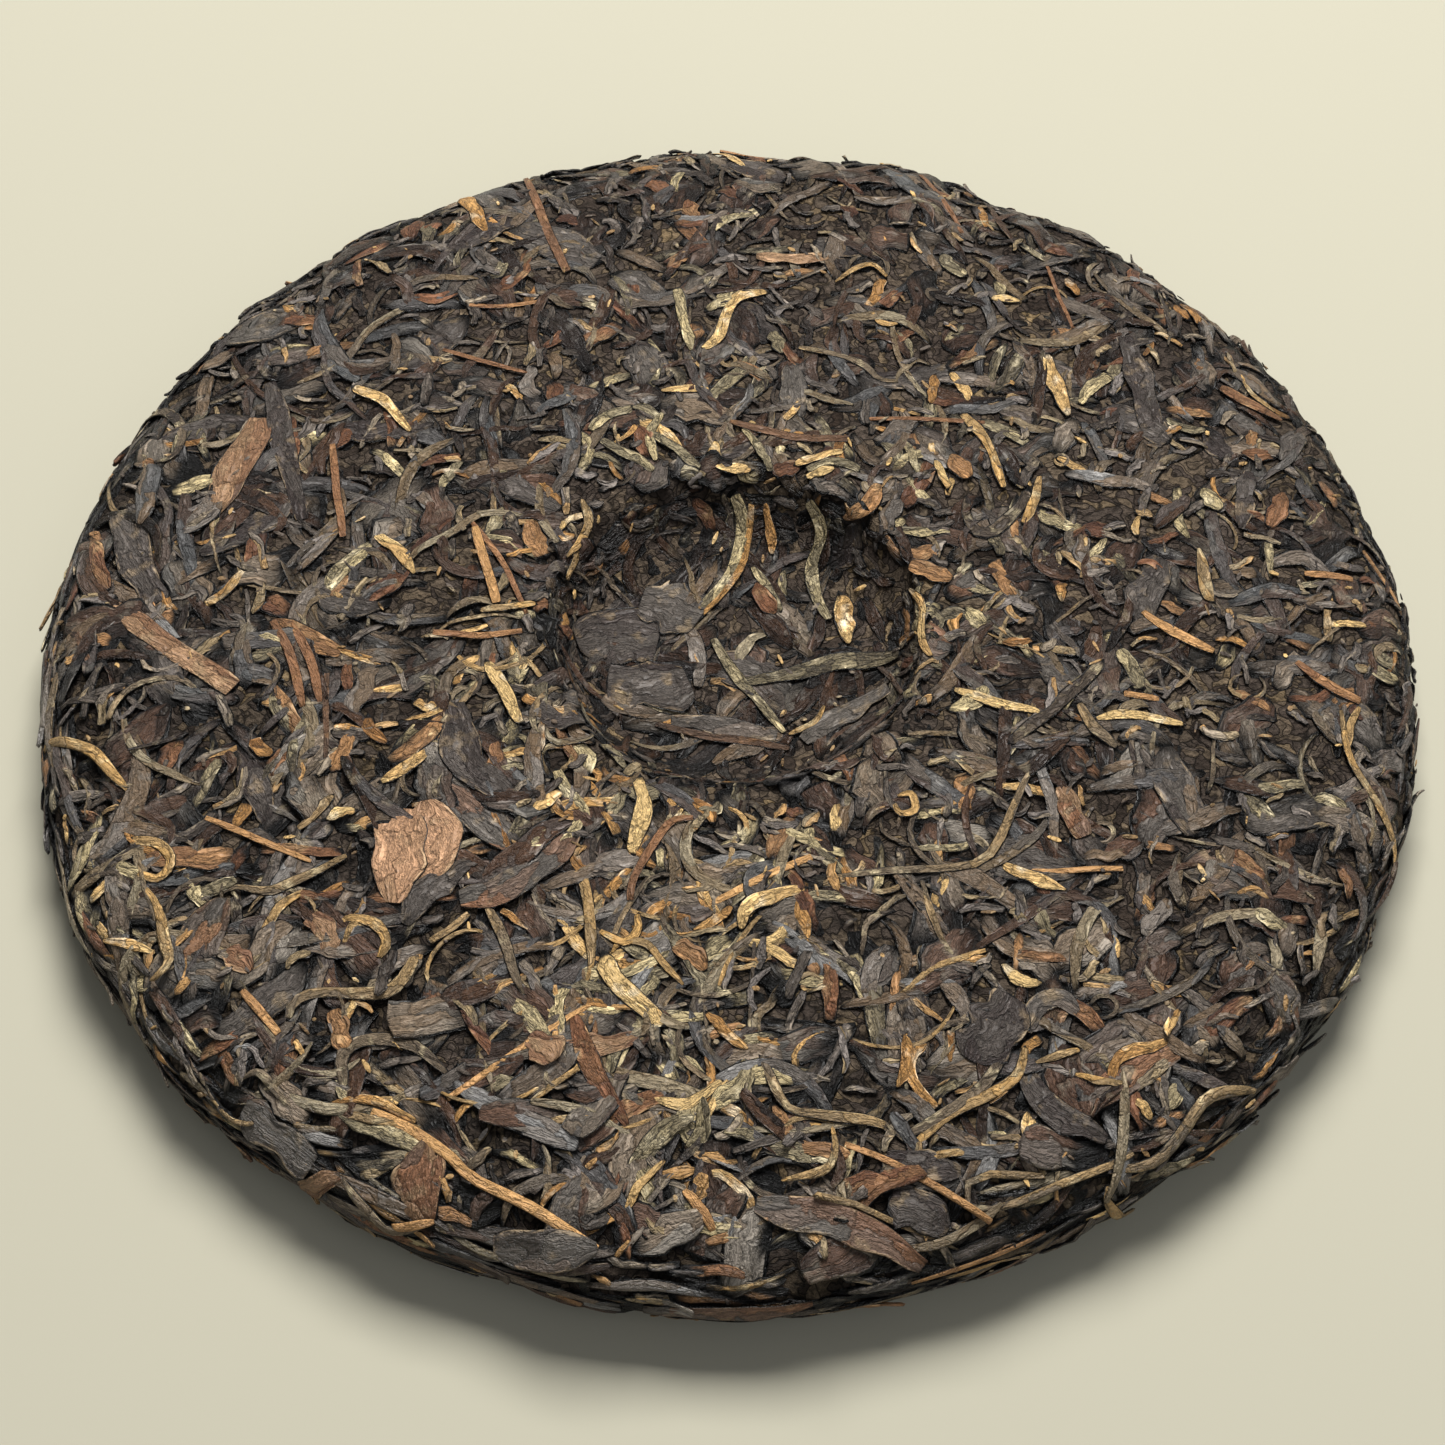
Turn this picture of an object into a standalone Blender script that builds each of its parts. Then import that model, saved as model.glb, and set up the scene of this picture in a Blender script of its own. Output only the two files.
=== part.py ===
"""A raw pu-erh tea cake: whole tea leaves pressed into a round, lying with its dimpled back up.

The cake is one solid. A turned core has the form that the press gives it, made as uneven as
packed leaf is. The leaves, buds and stems that show are thin wavy solids, sunk halfway into
the core and into one another, and one union makes them a single body with it.
"""

import math
import random

import bmesh
import bpy
from mathutils import Matrix, Vector, noise
from mathutils.bvhtree import BVHTree

# The pressed round, in metres
CORE_RADIUS = 0.0985
EQUATOR_HEIGHT = 0.0078
RING_HEIGHT = 0.0208
RING_RADIUS = 0.036
OUTER_DROP = 0.0058
OUTER_DROP_POWER = 1.6
SHOULDER_RADIUS = 0.085
REST_RADIUS = 0.076
EDGE_ROUNDNESS = 2.5

# The dimple that the knot of the pressing cloth leaves
DIMPLE_CENTRE = (0.0012, 0.0003)
DIMPLE_FLOOR_HEIGHT = 0.0122
DIMPLE_FLOOR_RADIUS = 0.015
DIMPLE_LIP_RADIUS = 0.0266
DIMPLE_WALL_POWER = 2.8

# How finely the turned core is divided, and how uneven the packed leaf leaves it
TURN_STEPS = 48
DIMPLE_POINTS = 4
OUTER_POINTS = 3
EDGE_POINTS = 5
UNDERSIDE_POINTS = 4
UNEVEN_HEIGHT = 0.0014
UNEVEN_SPACING = 0.017

# The leaves that cover the round
LEAF_SEED = 357
LEAF_COUNT = 92
LEAF_LENGTHS = (0.011, 0.021)
LEAF_WIDTHS = (0.0026, 0.0050)
EDGE_LEAF_STRETCH = 1.3
EDGE_LEAF_STRAY = 0.16
LEAF_THICKNESS = 0.0018
LEAF_PROUD = 0.0008
LEAF_WAVE = 0.0004
LEAF_WAVE_COUNT = 1.4
LEAF_TIP_WIDTH = 0.42
LEAF_FULLNESS_POWER = 0.7
LEAF_BEND = 35
LEAF_STATIONS = 4
LOWEST_LEAF = 0.0025
FLOOR_CLEARANCE = 0.0006
GOLDEN_ANGLE = math.pi * (3 - math.sqrt(5))

# The pieces that stand out, from the front of the cake round to its back: middle (x, y, z),
# heading in degrees from +X, length, width, bend in degrees, and how far the tips rise
STANDOUTS = (
    ((-0.034, -0.083, 0.016), -31, 0.046, 0.0024, 14, 0.0008),
    ((-0.046, -0.070, 0.017), -20, 0.016, 0.0022, 10, 0.0012),
    ((0.012, -0.092, 0.015), 4, 0.024, 0.0060, 8, 0.0004),
    ((0.050, -0.078, 0.015), 42, 0.036, 0.0020, 20, 0.0008),
    ((0.035, -0.083, 0.016), 70, 0.018, 0.0022, 150, 0.0010),
    ((0.006, -0.098, 0.006), 0, 0.030, 0.0040, -6, 0.0000),
    ((-0.060, -0.077, 0.010), -50, 0.016, 0.0060, 0, 0.0003),
    ((0.024, -0.070, 0.019), 60, 0.014, 0.0034, 20, 0.0012),
    ((0.038, -0.064, 0.019), 75, 0.016, 0.0080, 0, 0.0000),
    ((-0.010, -0.058, 0.020), -50, 0.017, 0.0048, 10, 0.0008),
    ((0.001, -0.064, 0.020), 15, 0.010, 0.0044, 0, 0.0010),
    ((-0.006, -0.073, 0.019), 20, 0.013, 0.0024, 40, 0.0008),
    ((0.026, -0.041, 0.021), 4, 0.032, 0.0018, 35, 0.0003),
    ((0.041, -0.028, 0.021), 62, 0.018, 0.0018, 12, 0.0006),
    ((-0.044, -0.037, 0.020), -52, 0.023, 0.0084, 6, 0.0004),
    ((-0.064, -0.033, 0.019), -28, 0.022, 0.0016, 20, 0.0006),
    ((-0.078, -0.046, 0.016), -80, 0.019, 0.0020, 50, 0.0008),
    ((-0.076, -0.037, 0.017), -75, 0.010, 0.0026, 90, 0.0010),
    ((-0.090, -0.018, 0.013), 160, 0.018, 0.0026, 25, 0.0014),
    ((-0.083, 0.010, 0.017), 95, 0.024, 0.0050, 10, 0.0000),
    ((-0.072, 0.031, 0.018), 115, 0.020, 0.0060, 5, 0.0006),
    ((-0.063, 0.035, 0.019), 100, 0.024, 0.0040, -15, 0.0000),
    ((-0.085, 0.041, 0.014), 40, 0.013, 0.0050, 80, 0.0012),
    ((-0.051, 0.040, 0.020), 30, 0.012, 0.0030, 60, 0.0006),
    ((-0.057, 0.026, 0.020), 88, 0.016, 0.0020, 5, 0.0002),
    ((-0.034, 0.011, 0.021), 88, 0.013, 0.0018, 0, 0.0002),
    ((-0.032, -0.011, 0.021), -35, 0.010, 0.0048, 15, 0.0008),
    ((-0.040, 0.087, 0.014), 70, 0.013, 0.0036, 30, 0.0016),
    ((0.001, 0.094, 0.014), 5, 0.010, 0.0034, 25, 0.0014),
    ((0.002, 0.054, 0.020), 60, 0.016, 0.0030, 50, 0.0006),
    ((0.010, 0.070, 0.019), 2, 0.016, 0.0040, 0, 0.0004),
    ((0.010, 0.036, 0.021), -8, 0.020, 0.0020, 0, 0.0002),
    ((0.049, 0.043, 0.020), -60, 0.012, 0.0044, 25, 0.0006),
    ((0.060, 0.044, 0.019), -65, 0.020, 0.0048, 0, 0.0000),
    ((0.077, 0.043, 0.017), -20, 0.014, 0.0024, 0, 0.0004),
    ((0.070, 0.067, 0.014), 40, 0.010, 0.0040, 60, 0.0016),
    ((0.039, 0.021, 0.021), -30, 0.016, 0.0042, 70, 0.0006),
    ((0.064, -0.001, 0.020), -32, 0.013, 0.0032, 0, 0.0006),
    ((0.090, -0.026, 0.014), -75, 0.030, 0.0030, 18, 0.0002),
    ((0.017, -0.001, 0.013), -12, 0.022, 0.0026, 12, 0.0004),
    ((0.003, -0.020, 0.014), 2, 0.020, 0.0024, -8, 0.0004),
    ((0.017, 0.006, 0.013), 70, 0.008, 0.0030, 20, 0.0006),
)
STANDOUT_STATIONS = 5


def clear_scene():
    """Leave nothing of the opening scene."""
    for thing in list(bpy.data.objects):
        bpy.data.objects.remove(thing)


def new_collection(name):
    """A collection linked to the scene."""
    collection = bpy.data.collections.new(name)
    bpy.context.scene.collection.children.link(collection)
    return collection


def tea_material():
    """Dry raw tea: charcoal leaf with an olive cast, satin where the press has rubbed it."""
    material = bpy.data.materials.new("pressed_tea_leaf")
    material.use_nodes = True
    shader = material.node_tree.nodes["Principled BSDF"]
    shader.inputs["Base Color"].default_value = (0.052, 0.042, 0.032, 1.0)
    shader.inputs["Roughness"].default_value = 0.62
    shader.inputs["Metallic"].default_value = 0.0
    return material


def ease(share):
    """A smooth step from 0 to 1."""
    share = min(max(share, 0.0), 1.0)
    return share * share * (3 - 2 * share)


def outer_height(radius):
    """The height of the top outside the dimple's ring, before its edge rounds over."""
    share = max(radius - RING_RADIUS, 0.0) / (CORE_RADIUS - RING_RADIUS)
    return RING_HEIGHT - OUTER_DROP * share**OUTER_DROP_POWER


def core_profile():
    """The core's outline from the middle of the dimple, out and down, to the middle of the base."""
    depth = RING_HEIGHT - DIMPLE_FLOOR_HEIGHT
    points = [(0.0, DIMPLE_FLOOR_HEIGHT), (DIMPLE_FLOOR_RADIUS / 2, DIMPLE_FLOOR_HEIGHT)]
    for index in range(DIMPLE_POINTS):
        share = index / (DIMPLE_POINTS - 1)
        radius = DIMPLE_FLOOR_RADIUS + share * (DIMPLE_LIP_RADIUS - DIMPLE_FLOOR_RADIUS)
        points.append((radius, DIMPLE_FLOOR_HEIGHT + depth * share**DIMPLE_WALL_POWER))
    for index in range(OUTER_POINTS):
        share = (index + 1) / (OUTER_POINTS + 1)
        radius = RING_RADIUS + share * (SHOULDER_RADIUS - RING_RADIUS)
        points.append((radius, outer_height(radius)))
    for index in range(EDGE_POINTS + 1):
        along, down = rounded(index / EDGE_POINTS)
        radius = SHOULDER_RADIUS + (CORE_RADIUS - SHOULDER_RADIUS) * along
        height = EQUATOR_HEIGHT + (outer_height(radius) - EQUATOR_HEIGHT) * down
        points.append((radius, height))
    for index in range(1, UNDERSIDE_POINTS + 1):
        down, along = rounded(index / UNDERSIDE_POINTS)
        radius = REST_RADIUS + (CORE_RADIUS - REST_RADIUS) * along
        points.append((radius, EQUATOR_HEIGHT * (1 - down)))
    points.append((0.0, 0.0))
    return points


def rounded(share):
    """A point of a full, rounded quarter: (0, 1) at share 0, (1, 0) at share 1."""
    turn = math.pi / 2 * share
    power = 2 / EDGE_ROUNDNESS
    return max(math.sin(turn), 0.0) ** power, max(math.cos(turn), 0.0) ** power


def turned_core():
    """The round as the press leaves it: the outline turned about Z by a Screw modifier."""
    profile = core_profile()
    mesh = bpy.data.meshes.new("core_outline")
    edges = [(index, index + 1) for index in range(len(profile) - 1)]
    mesh.from_pydata([(radius, 0.0, height) for radius, height in profile], edges, [])
    outline = bpy.data.objects.new("core_outline", mesh)
    bpy.context.scene.collection.objects.link(outline)
    screw = outline.modifiers.new("turn", "SCREW")
    screw.axis = "Z"
    screw.steps = TURN_STEPS
    screw.render_steps = TURN_STEPS
    screw.use_merge_vertices = True
    screw.merge_threshold = 0.00001
    turned = plain_mesh(outline, "tea_cake")
    make_uneven(turned)
    return turned


def plain_mesh(thing, name):
    """The evaluated object as a mesh of its own. The object is removed."""
    bpy.context.view_layer.update()
    evaluated = thing.evaluated_get(bpy.context.evaluated_depsgraph_get())
    mesh = bpy.data.meshes.new_from_object(evaluated)
    mesh.name = name
    bpy.data.objects.remove(thing)
    return mesh


def make_uneven(mesh):
    """Shift the dimple to its place and raise and sink the packed leaf, but not its flat base."""
    for vertex in mesh.vertices:
        place = vertex.co
        if place.z < FLOOR_CLEARANCE:
            continue
        radius = math.hypot(place.x, place.y)
        share = 1 - ease((radius - DIMPLE_LIP_RADIUS) / (SHOULDER_RADIUS - DIMPLE_LIP_RADIUS))
        place.x += DIMPLE_CENTRE[0] * share
        place.y += DIMPLE_CENTRE[1] * share
        swell = noise.noise(place / UNEVEN_SPACING) * UNEVEN_HEIGHT
        outward = Vector((place.x, place.y, 0.0)) / CORE_RADIUS
        outward.z = 1.0 if place.z > EQUATOR_HEIGHT else 0.0
        vertex.co = place + outward * swell
    mesh.update()


def surface_of(mesh):
    """A search tree of the core's surface, for laying leaves along it."""
    builder = bmesh.new()
    builder.from_mesh(mesh)
    tree = BVHTree.FromBMesh(builder)
    builder.free()
    return tree


def walk(surface, middle, heading, length, bend, count):
    """The stations of a leaf: (place, outward, along), laid both ways from its middle."""
    step = length / (count - 1)
    turn = math.radians(bend) / (count - 1)

    def half(direction, steps):
        place, outward = surface.find_nearest(middle)[:2]
        along = Vector((math.cos(heading), math.sin(heading), 0.0)) * direction
        found = []
        for _ in range(steps):
            along = (along - outward * along.dot(outward)).normalized()
            place, outward = surface.find_nearest(place + along * step)[:2]
            along = (along - outward * along.dot(outward)).normalized()
            found.append((place, outward, along * direction))
            along = Matrix.Rotation(turn * direction, 3, outward) @ along
        return found

    before = (count - 1) // 2
    place, outward = surface.find_nearest(middle)[:2]
    along = Vector((math.cos(heading), math.sin(heading), 0.0))
    centre = (place, outward, (along - outward * along.dot(outward)).normalized())
    return [*reversed(half(-1, before)), centre, *half(1, count - 1 - before)]


def leaf_solid(name, stations, width, rise, phase, collection):
    """A thin wavy solid along the stations: a strip of grid, shaped, then given its thickness."""
    last = len(stations) - 1
    builder = bmesh.new()
    bmesh.ops.create_grid(builder, x_segments=last, y_segments=1, size=1.0)
    for vertex in builder.verts:
        share = (vertex.co.x + 1) / 2
        place, outward, along = stations[round(share * last)]
        side = outward.cross(along)
        fullness = math.sin(math.pi * share) ** LEAF_FULLNESS_POWER
        across = vertex.co.y * width / 2 * (LEAF_TIP_WIDTH + (1 - LEAF_TIP_WIDTH) * fullness)
        ripple = math.sin(2 * math.pi * share * LEAF_WAVE_COUNT + phase)
        wave = LEAF_WAVE * ripple * vertex.co.y
        tip = rise * abs(2 * share - 1) ** 2
        vertex.co = place + side * across + outward * (LEAF_PROUD + wave + tip)
    bmesh.ops.triangulate(builder, faces=builder.faces)
    bmesh.ops.solidify(builder, geom=builder.faces[:], thickness=LEAF_THICKNESS)
    for vertex in builder.verts:
        vertex.co.z = max(vertex.co.z, FLOOR_CLEARANCE)
    bmesh.ops.recalc_face_normals(builder, faces=builder.faces)
    mesh = bpy.data.meshes.new(name)
    builder.to_mesh(mesh)
    builder.free()
    leaf = bpy.data.objects.new(name, mesh)
    collection.objects.link(leaf)


def even_places(count):
    """Places spread evenly over the round's area: (angle, radius, height)."""
    profile = core_profile()
    rings = []
    covered = 0.0
    for (inner, top), (outer, bottom) in zip(profile, profile[1:]):
        if outer < inner and bottom < LOWEST_LEAF:
            break
        covered += math.pi * (inner + outer) * math.hypot(outer - inner, top - bottom)
        rings.append((covered, inner, outer, top, bottom))
    for index in range(count):
        wanted = covered * (index + 0.5) / count
        before = 0.0
        for total, inner, outer, top, bottom in rings:
            if wanted <= total:
                part = (wanted - before) / (total - before)
                radius = inner + (outer - inner) * part
                yield index * GOLDEN_ANGLE, radius, top + (bottom - top) * part
                break
            before = total


def cover_with_leaves(surface, collection):
    """Leaves by rule over the top and the edge, where they lie along the rim."""
    chance = random.Random(LEAF_SEED)
    for index, (angle, radius, height) in enumerate(even_places(LEAF_COUNT)):
        length = chance.uniform(*LEAF_LENGTHS)
        width = chance.uniform(*LEAF_WIDTHS)
        heading = chance.uniform(0.0, math.pi)
        if radius > SHOULDER_RADIUS:
            heading = angle + math.pi / 2 + chance.gauss(0.0, EDGE_LEAF_STRAY)
            length *= EDGE_LEAF_STRETCH
        middle = Vector((radius * math.cos(angle), radius * math.sin(angle), height))
        bend = chance.uniform(-LEAF_BEND, LEAF_BEND)
        stations = walk(surface, middle, heading, length, bend, LEAF_STATIONS)
        phase = chance.uniform(0.0, 2 * math.pi)
        leaf_solid(f"leaf_{index}", stations, width, 0.0, phase, collection)


def add_standouts(surface, collection):
    """The long stems, golden buds, curled leaves and broad leaves that stand out."""
    for index, (middle, heading, length, width, bend, rise) in enumerate(STANDOUTS):
        stations = walk(
            surface, Vector(middle), math.radians(heading), length, bend, STANDOUT_STATIONS
        )
        leaf_solid(f"standout_{index}", stations, width, rise, float(index), collection)


def united(core, leaves, material, collection):
    """The core and all the leaves as one body, with its box centred over the origin."""
    cake = bpy.data.objects.new("core", core)
    collection.objects.link(cake)
    union = cake.modifiers.new("unite", "BOOLEAN")
    union.operation = "UNION"
    union.operand_type = "COLLECTION"
    union.collection = leaves
    union.solver = "MANIFOLD"
    mesh = plain_mesh(cake, "tea_cake")
    for leaf in list(leaves.objects):
        bpy.data.objects.remove(leaf)
    bpy.data.collections.remove(leaves)
    keep_outer_shell(mesh)
    centre_over_origin(mesh)
    mesh.materials.append(material)
    finished = bpy.data.objects.new("tea_cake", mesh)
    collection.objects.link(finished)
    return finished


def keep_outer_shell(mesh):
    """Fill the small hollows that the union seals: only the outermost shell of faces stays."""
    builder = bmesh.new()
    builder.from_mesh(mesh)
    bmesh.ops.triangulate(builder, faces=builder.faces)
    unseen = set(builder.faces)
    shells = []
    while unseen:
        shell = [unseen.pop()]
        for face in shell:
            for edge in face.edges:
                for neighbour in edge.link_faces:
                    if neighbour in unseen:
                        unseen.remove(neighbour)
                        shell.append(neighbour)
        shells.append(shell)
    shells.sort(key=len)
    inner = [face for shell in shells[:-1] for face in shell]
    bmesh.ops.delete(builder, geom=inner, context="FACES")
    builder.to_mesh(mesh)
    builder.free()


def centre_over_origin(mesh):
    """Shift the mesh so that its box is centred on Z."""
    for axis in (0, 1):
        reach = [vertex.co[axis] for vertex in mesh.vertices]
        middle = (min(reach) + max(reach)) / 2
        for vertex in mesh.vertices:
            vertex.co[axis] -= middle
    mesh.update()


def build():
    """Make the tea cake."""
    clear_scene()
    cake_collection = new_collection("raw_puerh_tea_cake")
    leaf_collection = new_collection("pressed_leaves")
    material = tea_material()
    core = turned_core()
    surface = surface_of(core)
    add_standouts(surface, leaf_collection)
    cover_with_leaves(surface, leaf_collection)
    united(core, leaf_collection, material, cake_collection)


build()
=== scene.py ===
"""Looks of the raw pu-erh tea cake: leaves, buds and stems pressed into one round.

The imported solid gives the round's size and place. Every leaf here is a closed thin mesh, laid
along the pressed skin of the cake and sunk into its neighbours, over a core of finer leaf.
"""

import math

import bpy
import numpy as np
from mathutils import Matrix, Vector, noise


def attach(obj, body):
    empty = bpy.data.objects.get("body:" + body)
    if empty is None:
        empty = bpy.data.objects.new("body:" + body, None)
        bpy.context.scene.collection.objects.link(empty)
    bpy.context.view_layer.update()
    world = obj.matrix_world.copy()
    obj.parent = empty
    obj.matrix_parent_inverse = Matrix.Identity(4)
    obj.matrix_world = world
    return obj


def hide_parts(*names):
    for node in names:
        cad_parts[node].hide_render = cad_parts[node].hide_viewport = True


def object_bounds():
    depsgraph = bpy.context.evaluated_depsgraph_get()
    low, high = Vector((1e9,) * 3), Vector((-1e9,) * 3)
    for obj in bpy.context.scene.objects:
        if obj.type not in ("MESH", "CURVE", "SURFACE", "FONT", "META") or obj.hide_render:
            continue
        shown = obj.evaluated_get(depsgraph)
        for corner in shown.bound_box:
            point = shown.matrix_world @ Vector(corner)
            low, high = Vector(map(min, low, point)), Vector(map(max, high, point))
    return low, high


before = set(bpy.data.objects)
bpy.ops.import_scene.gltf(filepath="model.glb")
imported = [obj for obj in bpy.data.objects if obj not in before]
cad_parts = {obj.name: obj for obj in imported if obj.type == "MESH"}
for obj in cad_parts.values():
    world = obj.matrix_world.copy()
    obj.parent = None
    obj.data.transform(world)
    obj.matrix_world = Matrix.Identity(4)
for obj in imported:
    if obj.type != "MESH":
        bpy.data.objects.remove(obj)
cad_low, cad_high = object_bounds()

MM, HALF_MM = 0.001, 0.0005
# The pressed skin, in metres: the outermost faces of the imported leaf
LOOSE_TIP_REACH = 0.0003
SKIN_RADIUS = (cad_high.x - cad_low.x + cad_high.y - cad_low.y) / 4 - LOOSE_TIP_REACH
EQUATOR_HEIGHT, EDGE_ROUNDNESS = 0.0078, 2.5
RING_HEIGHT, RING_RADIUS = 0.0216, 0.036
OUTER_DROP, OUTER_DROP_POWER = 0.0058, 1.6
SHOULDER_RADIUS, REST_RADIUS = 0.085, 0.076
DIMPLE_SHIFT = np.array((0.0012, 0.0003))
DIMPLE_FLOOR_HEIGHT, DIMPLE_FLOOR_RADIUS = 0.0129, 0.015
DIMPLE_LIP_RADIUS, LIP_ROUNDING = 0.0266, 0.0007
DIMPLE_WALL_POWER = 2.8
UNEVEN_HEIGHT, UNEVEN_SPACING = 0.0014, 0.017
SKIN_SAMPLES, LIP_SAMPLES = 240, 9
# How many leaves lie on the base and on the side, for one on the top
BASE_DENSITY, SIDE_DENSITY = 0.3, 1.35
# What is lower than this lies in the plane of the base
BASE_LEVEL = 1e-6

# How far a leaf that stands above the skin still does so, pressed on the faces and loose at the rim
PRESSED_SHARE, LOOSE_SHARE = 0.12, 0.85
# Looseness on the side, at least, in the middle of the top, and what its near side and rim add
SIDE_LOOSENESS, LEAST_LOOSENESS, MIDDLE_LOOSENESS, NEAR_ADDS, RIM_ADDS = 0.7, 0.08, 0.3, 0.35, 0.3
# In metres: the near side's reach, where the rim's begins and its span, and the hollow's
NEAR_SPAN, LOOSE_RIM, RIM_SPAN, HOLLOW_INSET, HOLLOW_SPAN = 0.09, 0.074, 0.02, 0.004, 0.002
# How much of each effect a leaf shows when pressed hard, and what looseness adds
LOOSE_EFFECTS = {
    "thick": (0.6, 0.5), "ridges": (0.5, 0.6), "tilt": (0.15, 0.95), "wave": (0.4, 0.7), "dive": (0.3, 0.8),
}
# Some leaves that are loose enough have a raised tip: how many, and how far it stands out
LOOSE_ENOUGH, LOOSE_TIPS, LOOSE_TIP_RISE = 0.6, 0.13, 0.0021
# A leaf's section: its points are closer at its edges, and it is flat between them. Its under
# side has fewer points, this far out and down as shares of its half width and half thickness
EDGE_CROWDING, FLATNESS, UNDER_POINTS, UNDER_REACH, UNDER_DROP = 0.5, 4.5, 2, 0.6, 0.8
# How sharply an end may be torn, and how many folds lie across a leaf
TORN_ENDS, FOLDS_ACROSS = (0.2, 1.9), (0.6, 1.5)
# Painted shade round each leaf's outline and at its ends: they are as dark as if they lay this much deeper
RIM_SHADE = 0.0009
# A bake cell's empty margin, and how many cells stand over each other for one side by side
ATLAS_MARGIN, ATLAS_SHAPE = 0.04, 2.5
# Leaves are spread round the cake by this angle, each a little off it
GOLDEN_ANGLE, ANGLE_JITTER = math.pi * (3 - math.sqrt(5)), 0.3
SEED = 357

# The camera of the photograph, fitted to the round's outline
IMAGE_PIXELS = 1445
FOCAL_PIXELS = 3507.5
SENSOR_WIDTH = 36.0
CAMERA_DISTANCE = 0.4996
CAMERA_ELEVATION = math.radians(56.57)
CAMERA_ROLL = math.radians(-0.33)
CAMERA_AIM = np.array((-0.0008, -0.0091, 0.0100))
# A ray through the photograph is searched from this height down, in this many steps
RAY_TOP, RAY_STEPS = 0.024, 140


def cake_centre():
    """The middle of the flat base, which the leaves' loose tips don't shift."""
    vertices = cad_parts["tea_cake"].data.vertices
    base = np.array([vertex.co[:2] for vertex in vertices if vertex.co.z < BASE_LEVEL])
    return (base.min(axis=0) + base.max(axis=0)) / 2


CENTRE = cake_centre()


def ease(share):
    """A smooth step from 0 to 1."""
    share = np.clip(share, 0.0, 1.0)
    return share * share * (3 - 2 * share)


def outer_height(radius):
    """The height of the top outside the dimple's ring, before its edge rounds over."""
    share = np.maximum(radius - RING_RADIUS, 0.0) / (SKIN_RADIUS - RING_RADIUS)
    return RING_HEIGHT - OUTER_DROP * share**OUTER_DROP_POWER


def top_height(radius):
    """The height of the pressed top: floor and wall of the dimple, its rounded lip, and the ring."""
    share = (radius - DIMPLE_FLOOR_RADIUS) / (DIMPLE_LIP_RADIUS - DIMPLE_FLOOR_RADIUS)
    wall = np.clip(share, 0, 1) ** DIMPLE_WALL_POWER
    return outer_height(radius) - (RING_HEIGHT - DIMPLE_FLOOR_HEIGHT) * (1 - wall)


def skin_profile():
    """Radius and height along the skin, from the middle of the dimple to the middle of the base."""
    top = np.linspace(0, SHOULDER_RADIUS, SKIN_SAMPLES)
    rounding = np.linspace(-LIP_ROUNDING, LIP_ROUNDING, LIP_SAMPLES)
    level = np.mean([top_height(np.abs(top + shift)) for shift in rounding], axis=0)
    turn = np.linspace(0, math.pi / 2, SKIN_SAMPLES // 4)
    power = 2 / EDGE_ROUNDNESS
    along, down = np.sin(turn) ** power, np.clip(np.cos(turn), 0, 1) ** power
    edge = SHOULDER_RADIUS + (SKIN_RADIUS - SHOULDER_RADIUS) * along
    under = REST_RADIUS + (SKIN_RADIUS - REST_RADIUS) * down
    base = np.linspace(REST_RADIUS, 0, SKIN_SAMPLES // 2)
    radius = np.concatenate([top, edge[1:], under[1:], base[1:]])
    height = np.concatenate([
        level,
        EQUATOR_HEIGHT + (outer_height(edge[1:]) - EQUATOR_HEIGHT) * down[1:],
        EQUATOR_HEIGHT * (1 - along[1:]),
        np.zeros(len(base) - 1),
    ])
    return np.column_stack([radius, height])


PROFILE = skin_profile()
PROFILE_LENGTHS = np.linalg.norm(np.diff(PROFILE, axis=0), axis=1)
PROFILE_STEP = np.gradient(PROFILE, axis=0)
PROFILE_STEP /= np.linalg.norm(PROFILE_STEP, axis=1)[:, None]
PROFILE_OUT = np.column_stack([-PROFILE_STEP[:, 1], PROFILE_STEP[:, 0]])


def unit(vectors):
    """The vectors at length 1."""
    return vectors / np.maximum(np.linalg.norm(vectors, axis=-1, keepdims=True), 1e-12)


def swell(points):
    """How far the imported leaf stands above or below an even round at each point."""
    found = [noise.noise(Vector(point)) for point in points / UNEVEN_SPACING]
    return np.array(found) * UNEVEN_HEIGHT


def on_skin(points):
    """The nearest places on the pressed skin, and which way is out there."""
    flat = points[:, :2] - CENTRE
    reach = np.linalg.norm(flat, axis=1)
    inner = 1 - ease((reach - DIMPLE_LIP_RADIUS) / (SHOULDER_RADIUS - DIMPLE_LIP_RADIUS))
    shift = CENTRE + DIMPLE_SHIFT * (inner * (points[:, 2] > EQUATOR_HEIGHT))[:, None]
    flat = points[:, :2] - shift
    spoke = unit(flat)
    target = np.column_stack([np.linalg.norm(flat, axis=1), points[:, 2]])
    gaps = ((target[:, None, :] - PROFILE[None]) ** 2).sum(axis=2)
    nearest = gaps.argmin(axis=1)
    step, out = PROFILE_STEP[nearest], PROFILE_OUT[nearest]
    slide = ((target - PROFILE[nearest]) * step).sum(axis=1)
    found = PROFILE[nearest] + step * slide[:, None]
    place = np.column_stack([spoke * found[:, :1] + shift, found[:, 1]])
    outward = np.column_stack([spoke * out[:, :1], out[:, 1]])
    free = ease(place[:, 2] / EQUATOR_HEIGHT)
    place += outward * (swell(place) * free)[:, None]
    place[:, 2] = np.maximum(place[:, 2], 0.0)
    return place, outward


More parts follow.
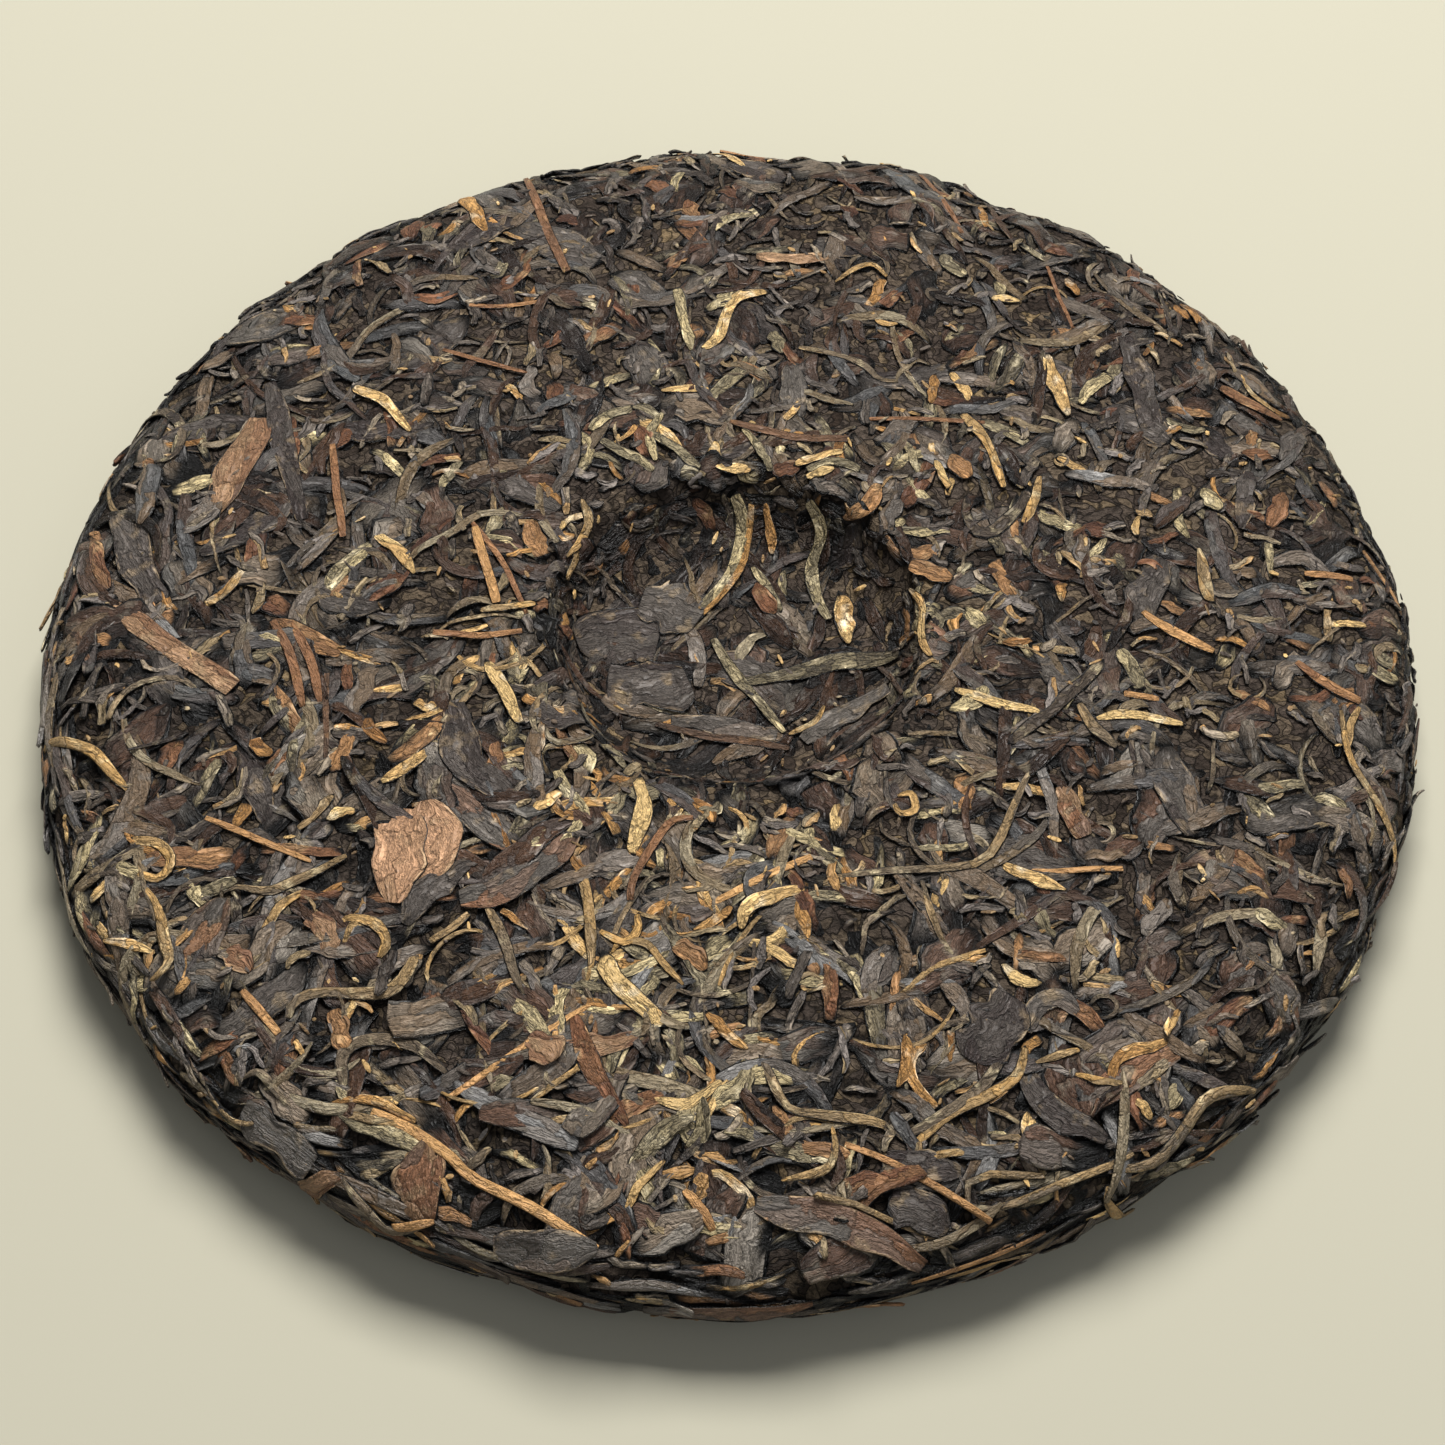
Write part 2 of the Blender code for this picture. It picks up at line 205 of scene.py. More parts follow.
def even_places(count, chance):
    """Places spread evenly by area over the skin, fewer on the base and more on the side."""
    areas = PROFILE_LENGTHS * (PROFILE[1:, 0] + PROFILE[:-1, 0])
    on_base = PROFILE[1:, 1] < BASE_LEVEL
    on_side = (PROFILE[1:, 0] > SHOULDER_RADIUS) & (PROFILE[1:, 1] > BASE_LEVEL)
    areas = areas * np.where(on_base, BASE_DENSITY, 1.0) * np.where(on_side, SIDE_DENSITY, 1.0)
    covered = np.concatenate([[0.0], np.cumsum(areas)]) / areas.sum()
    share = (np.arange(count) + chance.random(count)) / count
    radius = np.interp(share, covered, PROFILE[:, 0])
    height = np.interp(share, covered, PROFILE[:, 1])
    angle = np.arange(count) * GOLDEN_ANGLE + chance.normal(0, ANGLE_JITTER, count)
    flat = CENTRE + np.column_stack([np.cos(angle), np.sin(angle)]) * radius[:, None]
    return np.column_stack([flat, height])


def turned(vectors, axes, angles):
    """The vectors turned about their axes."""
    cosine, sine = np.cos(angles)[:, None], np.sin(angles)[:, None]
    dot = (vectors * axes).sum(axis=1, keepdims=True)
    return vectors * cosine + np.cross(axes, vectors) * sine + axes * dot * (1 - cosine)


def flattened(ways, outward):
    """The ways along the skin, at length 1."""
    return unit(ways - outward * (ways * outward).sum(axis=-1, keepdims=True))


def laid(middles, headings, lengths, bends, stations):
    """Stations along each leaf as it lies on the skin: places, ways out and ways along."""
    along = np.column_stack([np.cos(headings), np.sin(headings), np.zeros(len(headings))])
    place, outward = on_skin(middles)
    along = flattened(along, outward)
    place, outward = on_skin(place - along * lengths[:, None] / 2)
    along = turned(along, outward, -bends / 2)
    step = lengths / (stations - 1)
    found = []
    for _ in range(stations):
        along = flattened(along, outward)
        found.append((place, outward, along))
        along = turned(along, outward, bends / (stations - 1))
        place, outward = on_skin(place + along * step[:, None])
    return [np.stack(part, axis=1) for part in zip(*found)]


def slow(chance, count, rings, knots, sides=1):
    """Random values that change slowly along each leaf, for each side of it."""
    values = chance.normal(0, 1, (count, knots, sides))
    spots = np.linspace(0, knots - 1, rings)
    before = np.minimum(spots.astype(int), knots - 2)
    share = (spots - before)[None, :, None]
    return values[:, before] * (1 - share) + values[:, before + 1] * share


def looseness(middles, on_side):
    """How loosely the leaf is packed: least in the far part of the top, most along the near rim."""
    flat = middles[:, :2] - CENTRE
    near = np.clip((-flat[:, 1] - 0.5 * flat[:, 0]) / NEAR_SPAN, -0.6, 1)
    rim = ease((np.linalg.norm(flat, axis=1) - LOOSE_RIM) / RIM_SPAN)
    from_lip = np.linalg.norm(flat - DIMPLE_SHIFT, axis=1) - DIMPLE_LIP_RADIUS
    hollow = 1 - ease((from_lip + HOLLOW_INSET) / HOLLOW_SPAN)
    on_top = MIDDLE_LOOSENESS + NEAR_ADDS * near + RIM_ADDS * rim - hollow
    on_top = np.clip(on_top, LEAST_LOOSENESS, 1)
    return np.where(on_side, SIDE_LOOSENESS, on_top)


def leaf_batch(stations, facts, width, sink, tone, loose, chance):
    """Leaves laid at these stations: rings of points round each one, its tips, and its facts."""
    place, outward, along = stations
    count, rings = place.shape[:2]
    over = facts["over"]

    def drift(knots, sides=1):
        return slow(chance, count, rings, knots, sides)

    across = np.linspace(1, -1, over)
    across = np.sign(across) * np.abs(across) ** EDGE_CROWDING
    across = np.concatenate([across, np.linspace(-UNDER_REACH, UNDER_REACH, UNDER_POINTS)])
    is_over = np.arange(over + UNDER_POINTS) < over
    dome = np.where(is_over, np.sqrt(1 - np.abs(across) ** FLATNESS), -UNDER_DROP)
    reach = ((np.arange(rings) + 0.5) / rings)[None, :, None]
    torn = facts["taper"] * np.where(reach < 0.5, *chance.uniform(*TORN_ENDS, (2, count, 1, 1)))
    taper = np.sin(np.pi * reach ** facts["skew"]) ** torn
    ragged = np.where(across > 0, drift(6), drift(6))
    ragged = 1 + facts["rag"] * np.clip(ragged, -2, 2)
    free = loose[:, None, None]
    grown = {key: pressed + added * free for key, (pressed, added) in LOOSE_EFFECTS.items()}
    wide, thick = width[:, None, None] / 2, facts["thick"] * HALF_MM * grown["thick"]
    x = wide * across * taper * ragged + facts["wander"] * MM * drift(5)
    each = (count, 1, 1)
    folds = across * chance.uniform(*FOLDS_ACROSS, each) + chance.uniform(0, 2, each)
    folds = np.abs((folds + 0.35 * drift(4)) % 2 - 1) * 2 - 1
    ridges = facts["fold"] * folds + facts["rough"] * drift(6, len(across))
    ridges = np.where(is_over, np.clip(MM * ridges * taper, -0.8 * thick, 3 * thick), 0.0)
    ridges = ridges * grown["ridges"]
    tilt = np.tan(np.radians(facts["tilt"])) * np.clip(drift(4), -1.8, 1.8)
    tilt = tilt * grown["tilt"]
    lift = facts["wave"] * MM * drift(4) * grown["wave"]
    dive = facts["dive"] * MM * np.abs(2 * reach - 1) ** 3 * grown["dive"]
    z = lift - dive - sink[:, None, None] + dome * thick * taper**0.5 + ridges + x * tilt
    share = PRESSED_SHARE + (LOOSE_SHARE - PRESSED_SHARE) * free
    z = np.where(z > 0, z * share, z)
    has_tip = (chance.random(count) < LOOSE_TIPS) & (loose > LOOSE_ENOUGH)
    z = z + (has_tip * LOOSE_TIP_RISE)[:, None, None] * chance.uniform(0.4, 1, each) * reach**3
    side = np.cross(outward, along)
    points = place[:, :, None] + side[:, :, None] * x[..., None]
    points = points + outward[:, :, None] * z[..., None]
    ends = points.mean(axis=2)[:, [0, -1]]
    tip_reach = (wide * taper)[:, [0, -1]] * facts["point"]
    tips = ends + along[:, [0, -1]] * np.array([-1.0, 1.0])[None, :, None] * tip_reach
    aside = np.clip(chance.normal(0, 0.5, (count, 2, 1)), -0.8, 0.8)
    tips = tips + side[:, [0, -1]] * tip_reach * aside
    every = np.concatenate([points.reshape(count, -1, 3), tips], axis=1)
    every[..., 2] = np.maximum(every[..., 2], 0.0)
    # The depth that the material darkens by, with painted shade added along the outline
    depth = -z + RIM_SHADE * (np.abs(across) > 0.99)
    end_depth = -z.mean(axis=2)[:, [0, -1]]
    length = np.linalg.norm(np.diff(place, axis=1), axis=2).sum(axis=1)
    size = rings * len(across) + 2
    edge, wide = (np.tile(values, rings) for values in (np.abs(across), across))
    return {
        "points": every,
        "rings": rings,
        "sides": len(across),
        "tone": np.repeat(tone[:, None], size, axis=1),
        "depth": np.concatenate([depth.reshape(count, -1), end_depth + RIM_SHADE], axis=1) * 1000,
        "edge": np.tile(np.concatenate([edge, [0.5, 0.5]]), (count, 1)),
        "wide": np.tile(np.concatenate([wide, [0.0, 0.0]]), (count, 1)) * width[:, None] * 500,
        "length": length * 1000,
    }


def leaf_faces(rings, sides):
    """The faces of one leaf: its corners, their count in each face, and where they lie unrolled."""
    ring, side = np.meshgrid(np.arange(rings - 1), np.arange(sides), indexing="ij")
    ring, side = ring.ravel(), side.ravel()
    k = np.arange(sides)
    after, next_k = (side + 1) % sides, (k + 1) % sides
    last, start_tip, end_tip = (rings - 1) * sides, rings * sides, rings * sides + 1
    quads = np.column_stack([
        ring * sides + side, ring * sides + after, (ring + 1) * sides + after, (ring + 1) * sides + side,
    ])
    start_fan = np.column_stack([np.full(sides, start_tip), next_k, k])
    end_fan = np.column_stack([np.full(sides, end_tip), last + k, last + next_k])
    corners = np.concatenate([quads.ravel(), start_fan.ravel(), end_fan.ravel()])
    sizes = np.concatenate([np.full(len(quads), 4), np.full(2 * sides, 3)])
    reach = np.where(corners == start_tip, 0.0, corners // sides + 1) / (rings + 1)
    turn = [
        np.column_stack([side, side + 1, side + 1, side]) * 1.0,
        np.column_stack([k + 0.5, k + 1, k]),
        np.column_stack([k + 0.5, k, k + 1]),
    ]
    turn = np.concatenate([part.ravel() for part in turn]) / sides
    return corners, sizes, reach, turn


def write_attribute(mesh, name, values):
    """A number for each of the mesh's points."""
    attribute = mesh.attributes.new(name, "FLOAT", "POINT")
    attribute.data.foreach_set("value", values.astype(np.float32))


def leaf_mesh(name, batches):
    """One mesh of many closed leaves, with what their material reads and a bake cell for each."""
    total = sum(len(batch["points"]) for batch in batches)
    columns = math.ceil(math.sqrt(total / ATLAS_SHAPE))
    rows = math.ceil(total / columns)
    corners_of, sizes_of, strand, atlas = [], [], [], []
    first = cell = 0
    inset = 1 - 2 * ATLAS_MARGIN
    for batch in batches:
        count, size = batch["points"].shape[:2]
        corners, sizes, reach, turn = leaf_faces(batch["rings"], batch["sides"])
        corners_of.append((first + np.arange(count)[:, None] * size + corners[None]).ravel())
        sizes_of.append(np.tile(sizes, count))
        long = batch["length"][:, None] * reach[None]
        strand.append(np.stack([long, batch["wide"][:, corners]], axis=2).reshape(-1, 2))
        cells = cell + np.arange(count)[:, None]
        left = (cells % columns + ATLAS_MARGIN + inset * reach[None]) / columns
        low = (cells // columns + ATLAS_MARGIN + inset * turn[None]) / rows
        atlas.append(np.stack([left, low], axis=2).reshape(-1, 2))
        first += count * size
        cell += count
    mesh = bpy.data.meshes.new(name)
    points = np.concatenate([batch["points"].reshape(-1, 3) for batch in batches])
    corners, sizes = np.concatenate(corners_of), np.concatenate(sizes_of)
    starts = np.concatenate([[0], np.cumsum(sizes)[:-1]])
    for items, key, values, form in (
        (mesh.vertices, "co", points, np.float32), (mesh.loops, "vertex_index", corners, np.int32),
        (mesh.polygons, "loop_start", starts, np.int32),
    ):
        items.add(len(values))
        items.foreach_set(key, values.astype(form).ravel())
    mesh.update(calc_edges=True)
    mesh.polygons.foreach_set("use_smooth", np.ones(len(sizes), bool))
    for key in ("tone", "depth", "edge"):
        write_attribute(mesh, key, np.concatenate([batch[key].ravel() for batch in batches]))
    for key, spots in (("OFBake", atlas), ("Strand", strand)):
        layer = mesh.uv_layers.new(name=key)
        layer.uv.foreach_set("vector", np.concatenate(spots).astype(np.float32).ravel())
    return mesh


def placed(name, data):
    """A new object in the scene."""
    thing = bpy.data.objects.new(name, data)
    bpy.context.scene.collection.objects.link(thing)
    return thing


def piece(name, mesh, material):
    """A piece of the cake, which rides on its body and stands for its solid."""
    thing = placed(name, mesh)
    mesh.materials.clear()
    mesh.materials.append(material)
    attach(thing, "root")
    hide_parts("tea_cake")
    return thing


# The kinds of leaf. In millimetres: length, width, thick, sink (how deep the middle lies), fold
# and rough (creases along the leaf), wander (kinks sideways), wave (rise and fall) and dive (how
# far the ends go under their neighbours). Bend is in degrees over the leaf, tilt in degrees from
# side to side; rag is a share of the width. Taper, skew and point give the outline its ends, and
# rings and over are the points along the leaf and across its upper side.
FACTS = (
    "count", "length", "width", "thick", "sink", "bend", "tilt", "fold", "rough", "rag", "wander",
    "wave", "dive", "taper", "skew", "point", "rings", "over",
)
KINDS = {kind: dict(zip(FACTS, row)) for kind, *row in (
    ("pressed_fragments", 710, (6, 13), (3.5, 7.0), 0.5, (0.25, 0.8), 15, 4, 0.1, 0.07, 0.18, 0.35, 0.12,
     0.5, 0.36, 1.0, 0.3, 8, 7),
    ("charcoal_strips", 910, (6, 19), (1.6, 3.8), 0.7, (0.15, 0.85), 50, 12, 0.15, 0.07, 0.15, 0.3, 0.16,
     0.85, 0.38, 1.0, 0.7, 10, 7),
    ("folded_strips", 700, (7, 22), (1.1, 2.3), 0.8, (0.15, 0.85), 85, 14, 0.16, 0.06, 0.14, 0.35, 0.18,
     0.85, 0.4, 1.0, 1.0, 12, 6),
    ("brown_leaves", 380, (4, 11), (1.4, 3.6), 0.65, (0.15, 0.85), 30, 12, 0.14, 0.07, 0.18, 0.18, 0.14,
     0.75, 0.36, 1.0, 0.7, 9, 7),
    ("olive_leaves", 440, (5, 12), (1.3, 3.2), 0.65, (0.2, 0.85), 45, 12, 0.14, 0.07, 0.16, 0.18, 0.15,
     0.75, 0.4, 1.0, 0.9, 9, 7),
    ("leaf_shreds", 2050, (2.5, 7), (0.7, 2.0), 0.6, (0.1, 0.6), 45, 14, 0.12, 0.06, 0.2, 0.15, 0.12, 0.3,
     0.3, 1.0, 0.8, 6, 5),
    ("golden_buds", 235, (3, 9), (0.9, 2.3), 0.7, (0.25, 0.6), 55, 8, 0.1, 0.04, 0.12, 0.12, 0.1, 0.3,
     0.42, 0.75, 1.5, 9, 6),
    ("leaf_strands", 475, (7, 18), (0.6, 1.2), 0.7, (0.25, 0.7), 130, 10, 0.08, 0.04, 0.12, 0.18, 0.14,
     0.5, 0.28, 1.0, 1.2, 13, 5),
    ("tea_stems", 26, (8, 20), (0.8, 1.3), 0.9, (0.1, 0.5), 14, 3, 0.04, 0.02, 0.05, 0.08, 0.06, 0.3,
     0.08, 1.0, 0.3, 10, 6),
    ("broad_leaves", 110, (9, 17), (4.0, 7.5), 0.5, (0.2, 0.6), 15, 4, 0.14, 0.09, 0.12, 0.4, 0.16, 0.4,
     0.4, 0.9, 0.5, 12, 13),
)}

# Where the golden tips and olive leaf gather: pixels of the photograph
GOLDEN_SPOTS = (
    (640, 840), (820, 890), (640, 990), (700, 1080), (780, 480), (500, 690), (590, 560),
    (960, 420), (120, 900), (640, 780), (940, 640),
)
GOLDEN_SPREAD = 0.009
# The side of the cake: how far it is below the top's line, its widest leaves, their length as a
# share, how many of them lie along the rim, how far their ways stray, and how much they bend
SIDE_DROP, SIDE_WIDTH, SIDE_LENGTH, ALONG_RIM, STRAY, RIM_BEND = 0.0015, 0.0024, 0.9, 0.75, 0.35, 0.4
# Towards the far right the leaf is finer, by these shares of its length and width, and on the side
# fewer leaves lie along the rim, they stray more, and they are shorter still
FINER_LENGTH, FINER_WIDTH, FEWER_ALONG, MORE_STRAY, FINER_SIDE = 0.2, 0.1, 0.2, 0.15, 0.15
# Leaves whose middle lies lower than this are on the underside, and are sunk deeper by this share
# of their thickness
UNDER_HEIGHT, UNDER_SINK = 0.001, 0.4
# How far into its range a leaf may sink: pressed hard, and what looseness adds
SINK_PRESSED, SINK_LOOSE = 0.3, 0.8
# Painted light: leaves are lighter towards the near side, which slopes away from the window; all leaves are
# also a little lighter, by these shares of their range of tones
NEAR_PAINTED_LIGHT, TONE_LIFT = 0.16, 0.03
# The tones on the dimple's floor and wall, as shares of the tones elsewhere; the wall's darker tone is
# painted shade
DIMPLE_TONE, WALL_SHADE_TONE = 1.05, 0.3
# Deeper in, in millimetres: small pieces inside the dimple, its wall's leaves, and at most the leaves on the
# side. Sinking the wall's leaves also darkens them with painted shade
BURIED_SINK, WALL_SINK, SIDE_SINK = 0.35, 0.12, 0.35
# The wall's bounds, inwards from the lip and outwards from the floor
WALL_TOP, WALL_FOOT = 0.0005, 0.0015
BURIED_KINDS = ("golden_buds", "olive_leaves", "leaf_strands", "leaf_shreds", "brown_leaves")
# Leaves this near to the dimple's lip are shorter by this factor, so that they bend over it
LIP_REACH, LIP_LENGTH = 0.006, 0.65
# The lightest tone of a kind, lower where the lightest leaves all stand out in the photograph
LIGHTEST = {"broad_leaves": 0.55, "brown_leaves": 0.8, "leaf_strands": 0.72}
LIGHTEST_OTHERS = 0.95
# How many of a kind gather at the golden spots
GATHERED_SHARE = {"golden_buds": 0.45, "olive_leaves": 0.3, "leaf_strands": 0.25}


def scattered(kind, chance):
    """A batch of one kind of leaf, spread over the whole cake by rule."""
    facts = KINDS[kind]
    count = facts["count"]
    middles = even_places(count, chance)
    gathered = chance.random(count) < GATHERED_SHARE.get(kind, 0.0)
    spots = under_pixels(GOLDEN_SPOTS)[chance.integers(0, len(GOLDEN_SPOTS), count)]
    spots = spots + chance.normal(0, GOLDEN_SPREAD, (count, 3)) * (1, 1, 0)
    middles = np.where(gathered[:, None], spots, middles)
    flat = middles[:, :2] - CENTRE
    radius = np.linalg.norm(flat, axis=1)
    angle = np.arctan2(flat[:, 1], flat[:, 0])
    under = middles[:, 2] < UNDER_HEIGHT
    on_side = (radius > SHOULDER_RADIUS) & (middles[:, 2] < outer_height(radius) - SIDE_DROP) & ~under
    finer = np.clip((flat[:, 0] + flat[:, 1]) / SKIN_RADIUS, -1, 1)
    along_rim = on_side & (chance.random(count) < ALONG_RIM - FEWER_ALONG * finer)
    heading = angle + np.pi / 2 + chance.normal(0, 1, count) * (STRAY + MORE_STRAY * finer)
    heading = np.where(along_rim, heading, chance.uniform(0, 2 * np.pi, count))
    length = chance.uniform(*facts["length"], count) * MM * (1 - FINER_LENGTH * finer)
    length = length * np.where(on_side, SIDE_LENGTH - FINER_SIDE * finer, 1.0)
    at_lip = np.abs(radius - DIMPLE_LIP_RADIUS) < LIP_REACH
    length = length * np.where(at_lip, LIP_LENGTH, 1.0)
    width = chance.uniform(*facts["width"], count) * MM * (1 - FINER_WIDTH * finer)
    width = np.where(on_side, SIDE_WIDTH * np.tanh(width / SIDE_WIDTH), width)
    bend = np.radians(chance.normal(0, facts["bend"], count)) * np.where(along_rim, RIM_BEND, 1.0)
    loose = looseness(middles, on_side)
    low, high = facts["sink"]
    sink = low + (high - low) * chance.random(count) * (SINK_PRESSED + SINK_LOOSE * loose)
    sink = np.where(on_side, sink + chance.uniform(0, SIDE_SINK, count), sink)
    buried = (radius < DIMPLE_LIP_RADIUS - LIP_REACH) & (kind in BURIED_KINDS) & ~gathered
    sink = np.where(buried, sink + BURIED_SINK, sink)
    in_dimple = (radius < DIMPLE_LIP_RADIUS - WALL_TOP) & (middles[:, 2] > UNDER_HEIGHT)
    on_wall = in_dimple & (radius > DIMPLE_FLOOR_RADIUS + WALL_FOOT)
    # Sunk deeper, so the wall's leaves take more painted shade
    sink = np.where(on_wall, sink + WALL_SINK, sink)
    sink = np.where(under, sink + facts["thick"] * UNDER_SINK, sink) * MM
    tone = chance.random(count) * LIGHTEST.get(kind, LIGHTEST_OTHERS)
    # Painted light towards the near side
    tone = np.clip(tone - NEAR_PAINTED_LIGHT * flat[:, 1] / SKIN_RADIUS + TONE_LIFT, 0, 1)
    # Painted shade on the dimple's wall
    tone = tone * np.where(on_wall, WALL_SHADE_TONE, np.where(in_dimple, DIMPLE_TONE, 1.0))
    stations = laid(middles, heading, length, bend, facts["rings"])
    return leaf_batch(stations, facts, width, sink, tone, loose, chance)


def camera_axes():
    """The camera's place, and its ways right, up and back."""
    sine, cosine = math.sin(CAMERA_ELEVATION), math.cos(CAMERA_ELEVATION)
    back = np.array((0.0, -cosine, sine))
    level, rise = np.array((1.0, 0.0, 0.0)), np.array((0.0, sine, cosine))
    right = level * math.cos(CAMERA_ROLL) + rise * math.sin(CAMERA_ROLL)
    up = rise * math.cos(CAMERA_ROLL) - level * math.sin(CAMERA_ROLL)
    aim = CAMERA_AIM + (*CENTRE, 0.0)
    return aim + back * CAMERA_DISTANCE, right, up, back


def under_pixels(pixels):
    """Where the camera's rays through these pixels of the photograph meet the skin."""
    eye, right, up, back = camera_axes()
    offset = np.array(pixels, float) - IMAGE_PIXELS / 2
    rays = unit(offset[:, :1] * right - offset[:, 1:] * up - FOCAL_PIXELS * back)
    first = (RAY_TOP - eye[2]) / rays[:, 2]
    last = (0.0 - eye[2]) / rays[:, 2]
    share = np.linspace(0, 1, RAY_STEPS)
    distance = first[:, None] + (last - first)[:, None] * share
    reached = eye + rays[:, None] * distance[..., None]
    place, outward = on_skin(reached.reshape(-1, 3))
    over = ((reached.reshape(-1, 3) - place) * outward).sum(axis=1).reshape(distance.shape)
    met = np.where((over <= 0).any(axis=1), (over <= 0).argmax(axis=1), over.argmin(axis=1))
    return place.reshape(reached.shape)[np.arange(len(rays)), met]


def along_curve(controls, count):
    """Evenly spaced points on a smooth curve through the controls."""
    ends = (2 * controls[:1] - controls[1:2], 2 * controls[-1:] - controls[-2:-1])
    knots = np.concatenate([ends[0], controls, ends[1]])
    dense = []
    for a, b, c, d in zip(knots, knots[1:], knots[2:], knots[3:]):
        t = np.linspace(0, 1, 12, endpoint=False)[:, None]
        square, cube = a - 2.5 * b + 2 * c - d / 2, 1.5 * (b - c) + (d - a) / 2
        dense.append(b + (c - a) * t / 2 + square * t**2 + cube * t**3)
    dense = np.concatenate([*dense, controls[-1:]])
    run = np.concatenate([[0], np.cumsum(np.linalg.norm(np.diff(dense, axis=0), axis=1))])
    wanted = (np.arange(count) + 0.5) / count * run[-1]
    return np.column_stack([np.interp(wanted, run, dense[:, axis]) for axis in range(3)])


# A leaf that stands out lies this far over the skin's level, and the widest lie higher still
STANDOUT_SINK, WIDE_RISE, WIDE_FROM = -0.0002, 0.2, 0.0065
STANDOUT_RINGS = 15
# How their forms differ from those of their kinds
STANDOUT_FORM = dict(wander=0.05, wave=0.1, dive=0.6)
STANDOUT_FORMS = {
    "broad_leaves": dict(
        taper=0.28, point=0.15, rag=0.22, fold=0.14, rough=0.12, wander=0.02, lower=0.05,
    ),
    "olive_leaves": dict(taper=0.2, rag=0.2, fold=0.2, rough=0.1),
    "golden_buds": dict(taper=0.3, rag=0.22, fold=0.2, rough=0.07, skew=0.9),
    "leaf_strands": dict(rag=0.16, fold=0.14),
    "tea_stems": dict(taper=0.16, rag=0.08, fold=0.1),
}
